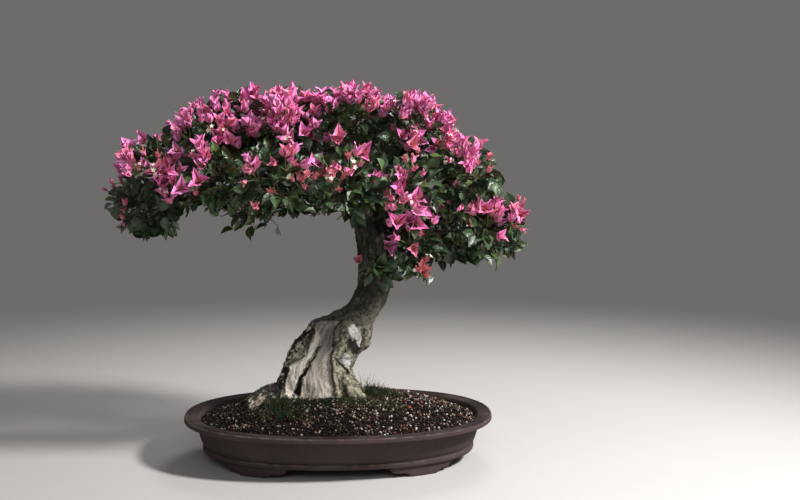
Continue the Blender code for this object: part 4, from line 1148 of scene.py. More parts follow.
def bark_values(points, cover, waves):
    """The values that the bark's finish reads, from 0 to 1, three to a name."""
    # The crack, the edges of the bark and the furrow are painted near black: painted shade in these hollows.
    crack_shade = np.clip(cover["crack"] * 1.4, 0, 1)
    dark = np.clip(np.maximum(cover["dark"], crack_shade), 0, 1)
    deep = np.clip(np.maximum.reduce([crack_shade, cover["edge"] * 0.8, cover["furrow"]]), 0, 1)
    bare = cover["wood"] * (1 - crack_shade) * (1 - cover["edge"])
    lean = 0.5 * (points[:, 0] - POT_X - 0.040)
    high = smooth_step(0.240, 0.310, points[:, 2] + waves["wobble"] * 0.016 - lean)
    moss = smooth_step(0.135, 0.115, points[:, 2] + waves["wobble"] * 0.008)
    relief = np.clip(0.5 + 0.55 * waves["ridges"] + 0.35 * waves["rugged"], 0, 1)
    return {
        "cover": (bare, cover["pale"] * (1 - crack_shade), dark),
        "stain": (cover["purple"], moss, high),
        "depth": (deep, cover["root_end"], relief),
        "tint": (cover["cream"], cover["knuckle"], np.zeros(len(points))),
    }


def make_tree(finish):
    """The tree's skin with its bark ridges, bare grained wood, crack and furrows."""
    tree = wood_mesh()
    mesh = tree.data
    points = read_points(mesh)
    normals = read_points(mesh, "normal")
    grain = grain_of(points)
    waves = {
        "wobble": lumps(points, 90.0, 3, 3.0),
        "rugged": lumps(points, 190.0, 3, 7.0),
        "ridges": lumps(grain, 95.0, 4, 1.0),
        "fine": lumps(grain, 300.0, 3, 5.0),
        "knots": lumps(points, 28.0, 2, 9.0),
    }
    cover = trunk_cover(points, normals, waves["wobble"])
    points += normals * bark_push(points[:, 2], cover, waves)[:, None]
    mesh.vertices.foreach_set("co", points.astype(np.float32).ravel())
    for name, parts in bark_values(points, cover, waves).items():
        keep_values(mesh, name, np.stack(parts, axis=1))
    keep_values(mesh, "grain", grain)
    mesh.materials.append(finish)
    mesh.shade_smooth()
    mesh.update()
    declare(tree, "bark", "trunk")
    return tree


# Leaves and blooms


def sheet_template(stations, top, bottom):
    """A thin closed pointed sheet: each point's share along, place across and side, and its triangles."""
    across_top = np.linspace(-1, 1, top)
    across_bottom = np.linspace(1, -1, bottom + 2)[1:-1]
    ring = [(u, 0.0) for u in across_top] + [(u, 1.0) for u in across_bottom]
    points = [(0.0, 0.0, 0.0)] + [(v, u, under) for v in stations for u, under in ring] + [(1.0, 0.0, 0.0)]
    sides = len(ring)
    faces = []
    for i in range(sides):
        j = (i + 1) % sides
        faces.append((0, 1 + j, 1 + i))
        for low in range(1, 1 + (len(stations) - 1) * sides, sides):
            faces += [(low + i, low + j, low + sides + j), (low + i, low + sides + j, low + sides + i)]
        last = 1 + (len(stations) - 1) * sides
        faces.append((last + i, last + j, len(points) - 1))
    return np.array(points), np.array(faces)


class Sheets:
    """Many blades at once, one row each: start, way, upper side, length, width and their bends."""

    def __init__(self, starts, ways, uppers, lengths, widths, chance):
        self.starts = starts
        self.ways = unit(ways)
        self.uppers = unit(uppers - self.ways * np.sum(uppers * self.ways, axis=1, keepdims=True))
        self.lengths = lengths
        self.widths = widths
        self.chance = chance

    def points(self, template, outline, fold, cup, curl, late, twist, ruffle, thick):
        """Bends the template's flat sheet to each blade and keeps its tip in place. Angles are in radians.

        fold turns both halves up from the midrib, cup rounds them, and curl bends the tip down. The
        higher late is, the nearer to the tip that bend comes."""
        along, across, under = template.T
        steps = np.linspace(0, 1, BEND_STEPS + 1)
        turn = curl[:, None] * steps ** late
        run = path_sum(np.cos(turn))
        drop = path_sum(np.sin(turn))
        lean = np.arctan2(drop[:, -1], run[:, -1])[:, None]
        scale = self.lengths[:, None] / np.hypot(run[:, -1:], drop[:, -1:])
        way = self.ways * np.cos(lean) + self.uppers * np.sin(lean)
        upper = self.uppers * np.cos(lean) - self.ways * np.sin(lean)
        side = np.cross(way, upper)
        at = np.clip((along * BEND_STEPS).astype(int), 0, BEND_STEPS - 1)
        part = along * BEND_STEPS - at
        run, drop, turn = ((row[:, at] * (1 - part) + row[:, at + 1] * part) for row in (run, drop, turn))
        local_upper = upper[:, None] * np.cos(turn)[..., None] + way[:, None] * np.sin(turn)[..., None]
        spin = (twist[:, None] * along)[..., None]
        local_side = side[:, None] * np.cos(spin) + local_upper * np.sin(spin)
        local_upper = local_upper * np.cos(spin) - side[:, None] * np.sin(spin)
        half = np.interp(along, *zip(*outline)) * self.widths[:, None] / 2
        edge = fold[:, None] + cup[:, None] * np.abs(across)
        reach = half * (np.sin(edge) - np.sin(fold)[:, None]) / cup[:, None] * np.sign(across)
        lift = half * (np.cos(fold)[:, None] - np.cos(edge)) / cup[:, None]
        phase = self.chance[:, None] * 40 + across * 2
        waves = ruffle[:, None] * across ** 2 * np.sin(2 * math.pi * along * 2.3 + phase)
        lift = lift + waves - under * thick
        points = self.starts[:, None] + way[:, None] * (run * scale)[..., None]
        points = points - upper[:, None] * (drop * scale)[..., None]
        return points + local_side * reach[..., None] + local_upper * lift[..., None]


def path_sum(rates):
    """The running sum of rates along each row, from 0, for steps of equal share."""
    steps = (rates[:, 1:] + rates[:, :-1]) / 2 / BEND_STEPS
    return np.hstack([np.zeros((len(rates), 1)), np.cumsum(steps, axis=1)])


def read_blades(node, widest):
    """The blades of a CAD node, found from their tips: start, way, outer side, length and width."""
    made = welded(node)
    blades = []
    for tip in made.verts:
        near = [edge.other_vert(tip) for edge in tip.link_edges]
        if len(near) != 3 or any(len(other.link_edges) > 5 for other in near):
            continue
        corners = [other.co for other in near]
        pairs = sorted(((0, 1), (1, 2), (0, 2)),
                       key=lambda pair: (corners[pair[0]] - corners[pair[1]]).length)
        left, right = pairs[-1]
        middle = (corners[left] + corners[right]) / 2
        ridge = corners[3 - left - right] - middle
        length = (tip.co - middle).length / (1 - widest)
        way = (tip.co - middle).normalized()
        blades.append((*(middle - way * length * widest), *way, *ridge, length,
                       (corners[left] - corners[right]).length))
    made.free()
    blades = np.array(blades)
    return blades[:, :3], blades[:, 3:6], blades[:, 6:9], blades[:, 9], blades[:, 10]


LEAF_SHEET, LEAF_FACES = sheet_template(LEAF_STATIONS, 5, 3)
BRACT_SHEET, BRACT_FACES = sheet_template(BRACT_STATIONS, 5, 3)


class Bloom:
    """One bloom: its base, the way it faces, and the ways and lengths of its three bracts."""

    def __init__(self, base, axis, ways, lengths):
        self.base = base
        self.axis = axis
        self.ways = ways
        self.lengths = lengths

    def middle(self):
        return self.base + self.axis * BLOOM_DEPTH


def stood_up(bloom, rng):
    """The bloom turned part of the way from where it faces towards upright."""
    axis = unit(bloom.axis + UP * rng.uniform(0.2, 1.1))
    bloom.ways = unit(bloom.ways + axis - bloom.axis)
    bloom.axis = axis
    return bloom


def cad_blooms(node, size, rng):
    """The blooms of a CAD bunch: its blades in threes that start together."""
    starts, ways, _, lengths, _ = read_blades(node, BRACT_WIDEST)
    left = list(range(len(starts)))
    blooms = []
    while left:
        first = left[0]
        near = sorted(left, key=lambda i: np.linalg.norm(starts[i] - starts[first]))[:3]
        left = [i for i in left if i not in near]
        axis = unit(ways[near].sum(axis=0))
        base = starts[near].mean(axis=0) - axis * 0.001
        bloom = Bloom(base, axis, unit(ways[near] + axis * 0.45), lengths[near] * size)
        bloom = stood_up(bloom, rng)
        bloom.lengths = bloom.lengths * size_seen(bloom)
        blooms.append(bloom)
    return blooms


def three_ways(axis, lean, rng):
    """Three ways round an axis, evenly apart, leaning out from it."""
    side = unit(np.cross(axis, unit(rng.normal(size=3))))
    other = np.cross(axis, side)
    start = rng.uniform(0, 2 * math.pi)
    ways = []
    for k in range(3):
        turn = start + 2 * math.pi * k / 3 + rng.uniform(-0.2, 0.2)
        ways.append(unit(axis * (1 - lean * 0.45) + (side * math.cos(turn) + other * math.sin(turn)) * lean))
    return np.array(ways)


def in_crown(points, margin):
    return shows_crown(photo_pixels(points), margin)


def shows_crown(pixels, margin):
    """True where the photograph shows crown, with this many pixels to spare, and not a gap in it."""
    inside = distance_inside(pixels, CROWN_OUTLINE) > margin
    for x, y, half_width, half_height in CROWN_GAPS:
        inside &= np.hypot((pixels[:, 0] - x) / half_width, (pixels[:, 1] - y) / half_height) > 1
    return inside


def is_free(bloom, others, apart=BLOOMS_APART):
    return min(np.linalg.norm(bloom.middle() - other.middle()) for other in others) > apart


def marks_off(bloom):
    """How far a bloom of the front shows from the photograph's nearest full-grown and nearest young bloom."""
    middle = bloom.middle()
    if middle[1] > BACK_FROM:
        return 0.0, np.inf
    pixel = photo_pixels(middle[None])
    return tuple(np.linalg.norm(np.array(marks) - pixel, axis=1).min()
                 for marks in (BLOOMS_IN_PHOTO, YOUNG_IN_PHOTO))


def size_seen(bloom):
    """Full size where the photograph shows a full-grown bloom, less at a young one, and least elsewhere."""
    grown, young = marks_off(bloom)
    if min(grown, young) > SEEN_WITHIN:
        return UNSEEN_SIZE
    return 1.0 if grown < young + GROWN_LEAD else YOUNG_SIZE


def new_bloom(base, axis, size, rng, open_wide=0.0):
    lengths = BRACT_LENGTH * size * rng.uniform(0.9, 1.1, 3)
    return Bloom(base, axis, three_ways(axis, rng.uniform(0.25, 0.65) + open_wide, rng), lengths)


def more_blooms(own, others, size, rng):
    """Further blooms of a bunch, between and round those of the CAD and clear of all others."""
    middle = np.mean([bloom.base for bloom in own], axis=0)
    axis = unit(np.sum([bloom.axis for bloom in own], axis=0))
    root = middle - axis * BUNCH_STALK
    made = []
    for _ in range(BUNCH_TRIES):
        if len(own) + len(made) >= BLOOMS_A_BUNCH:
            break
        way = unit(axis + rng.normal(size=3) * 0.50)
        base = root + way * rng.uniform(0.014, 0.034)
        faces = unit(way + UP * 0.3 + rng.normal(size=3) * 0.2)
        bloom = new_bloom(base, faces, size * rng.uniform(0.75, 1.0), rng)
        if is_free(bloom, others + made) and min(marks_off(bloom)) < NEW_WITHIN:
            made.append(bloom)
    return made


def sight_line(pixel, facing=-1):
    """The start and the way of the line of sight through a pixel of the photograph. The line comes from the
    photo's camera when facing is -1, and from its mirror behind when 1."""
    turn = np.array(CAMERA_TURN.to_matrix())
    flip = np.array((1, -facing, 1))
    way = unit(turn @ np.array((pixel[0] - PHOTO_WIDTH / 2, PHOTO_HEIGHT / 2 - pixel[1], -FOCAL_PIXELS)))
    return CAMERA_PLACE * flip, way * flip


def sight_place(pads, pixel, facing, reach):
    """Where a pixel's line of sight meets the leafy pads, or passes them by less than reach."""
    start, way = sight_line(pixel, facing)
    hit = pads.ray_cast(Vector(start), Vector(way))[0]
    if hit is not None:
        return np.array(hit)
    places = [start + way * distance for distance in SIGHT_DISTANCES]
    gaps = [pads.find_nearest(Vector(place))[3] for place in places]
    return places[int(np.argmin(gaps))] if min(gaps) < reach else None


def blooms_at(tries, size, pads, others, rng):
    """Blooms that stand on the pads between the bunches: at the front where the photograph has them, and
    at the back over the same part of the crown. One without spread is the photograph's own bloom, and the
    rest are smaller and keep further from other blooms."""
    made = []
    for (x, y), facing, spread in tries:
        if spread and y > TOP_BAND and rng.random() < SKIPPED_BELOW:
            continue
        pixel = (x + rng.normal() * spread, y + rng.normal() * spread * 0.8)
        place = sight_place(pads, pixel, facing, LOOSE_REACH if spread else SURE_REACH)
        if place is None:
            continue
        low = size == 1.0 and not spread and y > TOP_BAND
        forward = np.array((0, facing * (rng.uniform(0.1, 0.9) + 0.5 * low), 0))
        outward = unit(place - CROWN_MIDDLE) * 0.4
        axis = unit(outward + UP * (0.6 if low else 1.0) + forward + rng.normal(size=3) * 0.25)
        grown = size * (rng.uniform(0.66, 0.98) if spread else rng.uniform(0.90, 1.12) + 0.07 * low)
        bloom = new_bloom(place - axis * BLOOM_DEPTH * size, axis, grown, rng, 0.22 * low)
        bloom.base[1] += facing * (0.007 if spread else 0.014)
        tip = bloom.base + bloom.axis * bloom.lengths.mean()
        apart = BLOOMS_APART * (1.0 if spread else 0.45)
        if is_free(bloom, others + made, apart) and in_crown(tip[None], -2.5 if spread else -3.5)[0]:
            made.append(bloom)
    return made


def stalk_roots(blooms, centres, share):
    """Where the stalks of single blooms start, part of the way to the nearest pad's middle."""
    roots = []
    for bloom in blooms:
        centre = centres[np.argmin(np.linalg.norm(centres - bloom.base, axis=1))]
        roots.append(bloom.base * (1 - share) + centre * share)
    return np.array(roots)


def bract_sheets(blooms, rng):
    """The three bracts of each bloom as cupped blades whose tips turn out."""
    count = len(blooms) * 3
    ways = np.vstack([bloom.ways for bloom in blooms])
    axes = np.repeat([bloom.axis for bloom in blooms], 3, axis=0)
    inner = unit(axes - ways * np.sum(axes * ways, axis=1, keepdims=True))
    outer = unit(ways - axes * np.sum(ways * axes, axis=1, keepdims=True))
    bases = np.repeat([bloom.base for bloom in blooms], 3, axis=0)
    lengths = np.concatenate([bloom.lengths for bloom in blooms])
    widths = lengths * rng.uniform(0.64, 0.84, count)
    sheets = Sheets(bases + outer * 0.0010, ways, inner, lengths, widths, rng.random(count))
    return sheets.points(
        BRACT_SHEET, BRACT_OUTLINE,
        fold=rng.uniform(0.10, 0.35, count), cup=rng.uniform(0.20, 0.70, count),
        curl=rng.uniform(0.1, 1.1, count), late=1.6, twist=rng.uniform(-0.35, 0.35, count),
        ruffle=rng.uniform(0.0006, 0.0018, count), thick=0.0004)


def add_bracts(batch, blooms, rng):
    points = bract_sheets(blooms, rng)
    along, across, under = BRACT_SHEET.T
    shape = points.shape[:2]
    tone = np.repeat(rng.random(len(blooms)), 3) * 0.75 + rng.random(len(points)) * 0.25
    small = np.array([bloom.lengths.mean() < BRACT_LENGTH * 0.72 for bloom in blooms])
    warm = (small | (rng.random(len(blooms)) < WARM_SHARE)) * rng.uniform(0.4, 1.0, len(blooms))
    batch.add_many(points, BRACT_FACES, blade=point_values(shape, along, across, tone[:, None]),
                   side=point_values(shape, under, np.repeat(warm, 3)[:, None], 0.0))


def star_faces():
    """Triangles of a thin star from its two middles to the points round its rim, all the upper ones first."""
    rim = [(2 + i, 2 + (i + 1) % STAR_POINTS) for i in range(STAR_POINTS)]
    return [(0, here, after) for here, after in rim] + [(1, after, here) for here, after in rim]


def add_flowers(batch, blooms, rng):
    """Slim flower tubes inside the bracts. Some are open, with a cream five-lobed star."""
    turn = 2 * math.pi * np.arange(STAR_POINTS) / STAR_POINTS
    lobes = 0.70 + 0.30 * np.cos(5 * turn)
    faces = star_faces()
    for bloom in blooms:
        opened = rng.integers(1, 3) if rng.random() < 0.16 else 0
        for k, way in enumerate(three_ways(bloom.axis, 0.30, rng)):
            height = rng.uniform(0.012, 0.019)
            tip = bloom.base + way * height + UP * 0.001
            bulge = bloom.base + bloom.axis * height * 0.5
            radii = np.array((0.0008, 0.0014, 0.0016 if k < opened else 0.0005))
            add_tubes(batch, bent_paths(bloom.base[None], tip[None], bulge[None], 3), radii, 4, finish=1)
            if k >= opened:
                continue
            side = unit(np.cross(way, (0.3, 0.8, 0.5)))
            other = np.cross(way, side)
            size = rng.uniform(0.0042, 0.0056)
            rim = side * (np.cos(turn) * lobes)[:, None] + other * (np.sin(turn) * lobes)[:, None]
            star = np.vstack([tip + way * 0.0002, tip - way * 0.0007, tip + rim * size + way * 0.0012])
            batch.add(star, faces)


def add_bunch(batch, blooms, roots, rng):
    """The bracts of some blooms, and their stalks from the roots."""
    add_bracts(batch, blooms, rng)
    bases = np.array([bloom.base for bloom in blooms])
    axes = np.array([bloom.axis for bloom in blooms])
    bulges = (roots + bases) / 2 - axes * 0.004 + rng.normal(size=bases.shape) * 0.002
    add_tubes(batch, bent_paths(roots, bases, bulges, 5), np.linspace(0.0013, 0.0008, 5), 4, finish=1)


def make_blooms(pads, centres, finishes, flowers):
    """Every bunch as one piece, the blooms between them as two, and all the small flowers as another."""
    rng = np.random.default_rng(5)
    sizes = {node: YOUNG_SIZE if node in YOUNG_BUNCHES else GROWN_SIZE for node in BUNCHES}
    bunches = {node: cad_blooms(node, sizes[node], rng) for node in BUNCHES}
    everything = [bloom for blooms in bunches.values() for bloom in blooms]
    for node in BUNCHES:
        added = more_blooms(bunches[node], everything, sizes[node], rng)
        bunches[node] = bunches[node] + added
        everything += added
    for node, blooms in bunches.items():
        kind = "young_bract" if node in YOUNG_BUNCHES else "bract"
        batch = Batch()
        foot = np.mean([bloom.base - bloom.axis * BUNCH_STALK for bloom in blooms], axis=0)
        add_bunch(batch, blooms, np.broadcast_to(foot, (len(blooms), 3)), rng)
        declare(batch.make("blooms_" + node[-2:], [finishes[kind], finishes["stalk"]]), kind, node)
    tries = sorted([(pixel, *copy) for pixel in BLOOMS_IN_PHOTO for copy in BLOOM_COPIES],
                   key=lambda trial: trial[2])
    grown = blooms_at(tries, 1.0, pads, everything, rng)
    tries = [(pixel, *copy) for pixel in YOUNG_IN_PHOTO for copy in YOUNG_COPIES]
    young = blooms_at(tries, YOUNG_SIZE * 0.85, pads, everything + grown, rng)
    between = (("blooms_between", "bract", grown), ("young_blooms_between", "young_bract", young))
    for name, kind, blooms in between:
        batch = Batch()
        add_bunch(batch, blooms, stalk_roots(blooms, centres, 0.55), rng)
        declare(batch.make(name, [finishes[kind], finishes["stalk"]]), kind)
        everything += blooms
    batch = Batch()
    add_flowers(batch, everything, rng)
    declare(batch.make("small_flowers", flowers), "bract")
    return everything


def make_buds(pads, centres, finishes):
    """Small closed buds at the ends of thin bare twigs, at the crown's edge."""
    rng = np.random.default_rng(8)
    buds = []
    for pixel in BUDS_IN_PHOTO:
        for facing in (-1, 1):
            place = sight_place(pads, pixel, facing, SURE_REACH)
            if place is None:
                continue
            axis = unit(unit(place - CROWN_MIDDLE) * 0.5 + UP + rng.normal(size=3) * 0.3)
            ways = three_ways(axis, 0.22, rng)
            buds.append(Bloom(place - axis * 0.006, axis, ways, BRACT_LENGTH * rng.uniform(0.38, 0.52, 3)))
    batch = Batch()
    add_bunch(batch, buds, stalk_roots(buds, centres, 0.5), rng)
    declare(batch.make("buds", finishes), "bract")


def branch_end(centre, wood):
    """The place on the tree's wood from which a pad's twigs spread."""
    return np.array(wood.find_nearest(Vector(centre))[0])


def leaf_plan(node, wood, bloom_middles, rng):
    """Twigs of one pad and its leaves: those of the CAD, drawn shorter so that they read one by one, and more
    along each twig. The CAD's own are shorter still where they would pass the photograph's outline."""
    starts, ways, ridges, lengths, widths = read_blades(node, LEAF_WIDEST)
    centre = starts.mean(axis=0)
    outward = unit(centre - CROWN_MIDDLE)
    root = branch_end(centre, wood)
    front = np.array((0, math.copysign(0.5, centre[1]), 0))
    flip = np.sign(ridges @ (UP + outward * 0.6 + front))
    uppers = ridges * np.where(flip == 0, 1, flip)[:, None] * 0.5 + UP * 0.6 + outward * 0.5 + front
    feet = starts - unit(starts - centre) * 0.006
    bulges = centre + (feet - centre) * 0.45 + rng.normal(size=feet.shape) * 0.004
    roots = np.broadcast_to(root, feet.shape)
    twigs = bent_paths(roots, feet, bulges, 6)
    nodes = arc_places(roots, bulges, feet, np.linspace(0.38, 1.0, LEAVES_A_TWIG)).reshape(-1, 3)
    twig_way = np.repeat(unit(feet - bulges), LEAVES_A_TWIG, axis=0)
    out = unit(rng.normal(size=nodes.shape) + twig_way * 0.6 + outward * 0.55)
    out = unit(out + unit(nodes - centre) * 0.8)
    stalk_ends = nodes + out * rng.uniform(0.007, 0.016, (len(nodes), 1))
    leaf_ways = unit(out + UP * rng.uniform(-0.8, 0.45, (len(nodes), 1)))
    more_lengths = LEAF_LENGTH * rng.uniform(0.50, 1.0, len(nodes))
    middles = stalk_ends + leaf_ways * more_lengths[:, None] * 0.5
    gaps = np.linalg.norm(middles[:, None] - bloom_middles[None], axis=2).min(axis=1)
    kept = (gaps > LEAF_TO_BLOOM) & in_crown(stalk_ends + leaf_ways * more_lengths[:, None] * 0.8, -1.5)
    tilt = UP * 0.8 + outward * 0.5 + front + rng.normal(size=leaf_ways.shape) * 0.5
    shares = rng.uniform(0.68, 0.88, len(lengths))
    inside = in_crown(starts + ways * lengths[:, None] * 0.8, 0.0) | (starts[:, 2] < CROWN_MIDDLE[2])
    shares *= np.where(inside, 1.0, 0.62)
    more_widths = more_lengths[kept] * rng.uniform(0.66, 0.84, kept.sum())
    plan = {
        "starts": np.vstack([starts + ways * (lengths * (1 - shares) * 0.6)[:, None], stalk_ends[kept]]),
        "ways": np.vstack([ways, leaf_ways[kept]]),
        "uppers": np.vstack([uppers, tilt[kept]]),
        "lengths": np.concatenate([lengths * shares, more_lengths[kept]]),
        "widths": np.concatenate([widths * shares, more_widths]),
        "nodes": np.vstack([feet, nodes[kept]]),
    }
    return plan, twigs


def add_leaves(batch, plan, rng):
    """The leaves of a plan and their stalks, from places on twigs to the blades."""
    count = len(plan["starts"])
    chance = rng.random(count)
    sheets = Sheets(plan["starts"], plan["ways"], plan["uppers"], plan["lengths"], plan["widths"], chance)
    points = sheets.points(
        LEAF_SHEET, LEAF_OUTLINE,
        fold=rng.uniform(0.05, 0.35, count), cup=rng.uniform(0.10, 0.70, count),
        curl=rng.uniform(0.10, 1.00, count), late=1.2, twist=rng.uniform(-0.5, 0.5, count),
        ruffle=rng.uniform(0.0, 0.0014, count), thick=0.0003)
    along, across, under = LEAF_SHEET.T
    shape = points.shape[:2]
    fresh = (rng.random(count) < 0.05) * rng.uniform(0.3, 0.8, count)
    batch.add_many(points, LEAF_FACES, blade=point_values(shape, along, across, chance[:, None]),
                   side=point_values(shape, under, fresh[:, None], 0.0))
    bend = (plan["nodes"] + plan["starts"]) / 2 - UP * 0.001
    stalks = bent_paths(plan["nodes"], plan["starts"] + sheets.ways * 0.001, bend, 3)
    add_tubes(batch, stalks, np.array((0.0008, 0.0006, 0.0006)), 3, finish=1)


def make_leaves(finishes, wood, blooms):
    """Each leafy pad as one piece: twigs, stalks and leaves."""
    rng = np.random.default_rng(17)
    middles = np.array([bloom.middle() for bloom in blooms])
    for node in PADS:
        plan, twigs = leaf_plan(node, wood, middles, rng)
        batch = Batch()
        add_leaves(batch, plan, rng)
        add_tubes(batch, twigs, np.linspace(0.0021, 0.0010, 6), 5, finish=1)
        declare(batch.make(node.replace("leafy_pad", "leaves"), finishes), "leaf", node)


def make_extra_leaves(name, finishes, plan, kept, twigs, thickness, rng):
    """One piece of further leaves, those of the plan that are kept, and the twigs that they grow on."""
    batch = Batch()
    add_leaves(batch, {part: values[kept] for part, values in plan.items()}, rng)
    add_tubes(batch, twigs, np.linspace(*thickness, 4), 4, finish=1)
    declare(batch.make(name, finishes), "leaf")


def make_limb_leaves(finishes, tree):
    """Short leafy shoots along the limbs and branches inside the crown."""
    rng = np.random.default_rng(29)
    points = read_points(tree.data)
    high = np.flatnonzero(points[:, 2] > CROWN_LOW)
    picked = high[rng.choice(len(high), LIMB_SHOOTS, replace=False)]
    feet = points[picked]
    away = read_points(tree.data, "normal")[picked]
    ways = unit(away + UP * 0.35 + rng.normal(size=feet.shape) * 0.35)
    tips = feet + ways * rng.uniform(0.025, 0.050, (len(feet), 1))
    bulges = (feet + tips) / 2 + rng.normal(size=feet.shape) * 0.003
    nodes = arc_places(feet, bulges, tips, np.linspace(0.35, 1.0, LEAVES_A_SHOOT)).reshape(-1, 3)
    out = unit(rng.normal(size=nodes.shape) + np.repeat(ways, LEAVES_A_SHOOT, axis=0) * 0.8)
    lengths = LEAF_LENGTH * rng.uniform(0.60, 1.0, len(nodes))
    plan = {
        "starts": nodes + out * rng.uniform(0.006, 0.013, (len(nodes), 1)),
        "ways": unit(out + UP * rng.uniform(-0.9, 0.4, (len(nodes), 1))),
        "uppers": UP + rng.normal(size=nodes.shape) * 0.5,
        "lengths": lengths,
        "widths": lengths * rng.uniform(0.70, 0.86, len(nodes)),
        "nodes": nodes,
    }
    kept = in_crown(plan["starts"] + plan["ways"] * lengths[:, None], 0.0)
    twigs = bent_paths(feet - away * 0.001, tips, bulges, 4)
    make_extra_leaves("leaves_on_limbs", finishes, plan, kept, twigs, (0.0018, 0.0009), rng)


def open_sights(pieces, rng):
    """Pixels well inside the crown where a line of sight passes every leaf, bloom and limb."""
    bpy.context.view_layer.update()
    graph = bpy.context.evaluated_depsgraph_get()
    trees = [BVHTree.FromObject(piece, graph) for piece in pieces]
    x, y = np.meshgrid(np.arange(*GAP_COLUMNS, GAP_STEP), np.arange(*GAP_ROWS, GAP_STEP))
    pixels = np.stack([x.ravel(), y.ravel()], axis=1)
    pixels = pixels[shows_crown(pixels, 6.0)]
    chosen = []
    for pixel in rng.permutation(pixels):
        if chosen and np.linalg.norm(np.array(chosen) - pixel, axis=1).min() < GAPS_APART:
            continue
        start, way = (Vector(part) for part in sight_line(pixel))
        if all(tree.ray_cast(start, way)[0] is None for tree in trees):
            chosen.append(pixel)
    return chosen


def make_gap_leaves(finishes, wood, pieces):
    """Leafy twigs from the limbs that close the gaps which the photograph's crown doesn't have."""
    rng = np.random.default_rng(41)
    places = [sight_place(wood, pixel, -1, 0.12) for pixel in open_sights(pieces, rng)]
    tips = np.array([place for place in places if place is not None])
    feet = np.array([branch_end(tip, wood) for tip in tips])
    bulges = (feet + tips) / 2 + rng.normal(size=feet.shape) * 0.004
    nodes = arc_places(feet, bulges, tips, np.linspace(0.72, 1.0, LEAVES_A_GAP))
    out = rng.normal(size=nodes.shape)
    out[:, -1] *= 0.3
    nodes = nodes.reshape(-1, 3)
    out = unit(out.reshape(-1, 3) + UP * 0.1)
    lengths = LEAF_LENGTH * rng.uniform(0.70, 1.0, len(nodes))
    ways = unit(out * (1, 0.3, 1) - UP * 0.3)
    starts = nodes - ways * lengths[:, None] * 0.3
    plan = {
        "starts": starts,
        "ways": ways,
        "uppers": np.array((0.0, -1.0, 0.4)) + rng.normal(size=nodes.shape) * 0.35,
        "lengths": lengths,
        "widths": lengths * rng.uniform(0.72, 0.88, len(nodes)),
        "nodes": nodes,
    }
    kept = in_crown(starts + ways * lengths[:, None], 1.0) & in_crown(starts, 1.0)
    twigs = bent_paths(feet, tips, bulges, 4)
    make_extra_leaves("leaves_between", finishes, plan, kept, twigs, (0.0016, 0.0009), rng)


# Moss, grass and weeds


def blade_tubes(batch, feet, heights, lean, places, rng, litter=0.0):
    """Thin blades of grass or moss that rise from their feet and lean, with a number of places each."""
    ways = unit(rng.normal(size=feet.shape) * (lean, lean, 0.0) + UP)
    tips = feet + ways * heights[:, None]
    bulges = (feet + tips) / 2 + UP * heights[:, None] * 0.22
    thick = np.linspace(0.00060, 0.00008, places) * rng.uniform(0.8, 1.4, (len(feet), 1))
    up_blade = np.repeat(np.linspace(0, 1, places), 3)
    values = point_values((len(feet), places * 3), rng.random((len(feet), 1)), up_blade, litter)
    add_tubes(batch, bent_paths(feet, tips, bulges, places), thick, 3, blade=values)


def on_mound(x, y):
    return np.stack([x, y, grit_height(x, y) - 0.001], axis=1)


def moss_clumps(rng):
    """Middles and heights of the moss clumps, thickest in front of the trunk and at its two sides."""
    clumps = []
    while len(clumps) < MOSS_CLUMPS:
        turn = rng.uniform(0, 2 * math.pi)
        front = 0.5 - 0.5 * math.sin(turn)
        left = math.exp(-((turn - LEFT_ROOT_TURN) / 0.55) ** 2)
        right = math.exp(-((turn - RIGHT_ROOT_TURN) / 0.35) ** 2)
        right += math.exp(-((turn - RIGHT_SIDE_TURN) / 0.35) ** 2)
        reach = 0.94 + rng.random() ** 1.3 * (0.10 + 0.62 * front + 0.62 * left + 0.50 * right)
        x = POT_X + MOSS_MIDDLE + math.cos(turn) * MOSS_RADII[0] * reach
        y = TRUNK_Y + math.sin(turn) * MOSS_RADII[1] * reach
        if rng.random() < 0.30 + 0.70 * max(front, right) and not trunk_covers(x, y, UNDER_TRUNK):
            swell = 1.0 + 1.3 * noise.noise(Vector((x, y, 0.3)) * 42.0)
            clumps.append((x, y, rng.uniform(0.004, 0.008) * (1 + 0.7 * left) * max(swell, 0.4)))
    return clumps


def add_moss(batch, rng):
    for x, y, tall in moss_clumps(rng):
        off = rng.normal(size=(BLADES_A_CLUMP, 2)) * rng.uniform(0.0025, 0.0060)
        heights = tall * rng.uniform(0.5, 1.3, BLADES_A_CLUMP)
        litter = 0.75 * (noise.noise(Vector((x, y, 0.0)) * 45.0) > 0.18)
        blade_tubes(batch, on_mound(x + off[:, 0], y + off[:, 1]), heights, 0.70, 2, rng, litter)


def add_litter(batch, rng):
    """Dry blades and chips on the slope in front of the trunk and to its right, taller close to it."""
    for _ in range(LITTER_CLUMPS):
        x = rng.uniform(0.000, LITTER_END)
        y = rng.uniform(-0.090, 0.030)
        if trunk_covers(POT_X + x, y, UNDER_TRUNK):
            continue
        tall = 0.005 + 0.022 * min((LITTER_END - x) / 0.070, 1.0) * max(0.0, 1 - abs(y - 0.01) / 0.060)
        off = rng.normal(size=(BLADES_A_CLUMP, 2)) * 0.0045
        heights = tall * rng.uniform(0.4, 1.1, BLADES_A_CLUMP)
        feet = on_mound(POT_X + x + off[:, 0], y + off[:, 1])
        blade_tubes(batch, feet, heights, 0.8, 2, rng, rng.choice((0.3, 1.0)))


def add_grass(batch, rng):
    for x, y, tall, count in GRASS_TUFTS:
        off = rng.normal(size=(count, 2)) * 0.0035
        feet = on_mound(POT_X + x + off[:, 0], y + off[:, 1])
        blade_tubes(batch, feet, tall * rng.uniform(0.5, 1.1, count), 0.45, 3, rng)


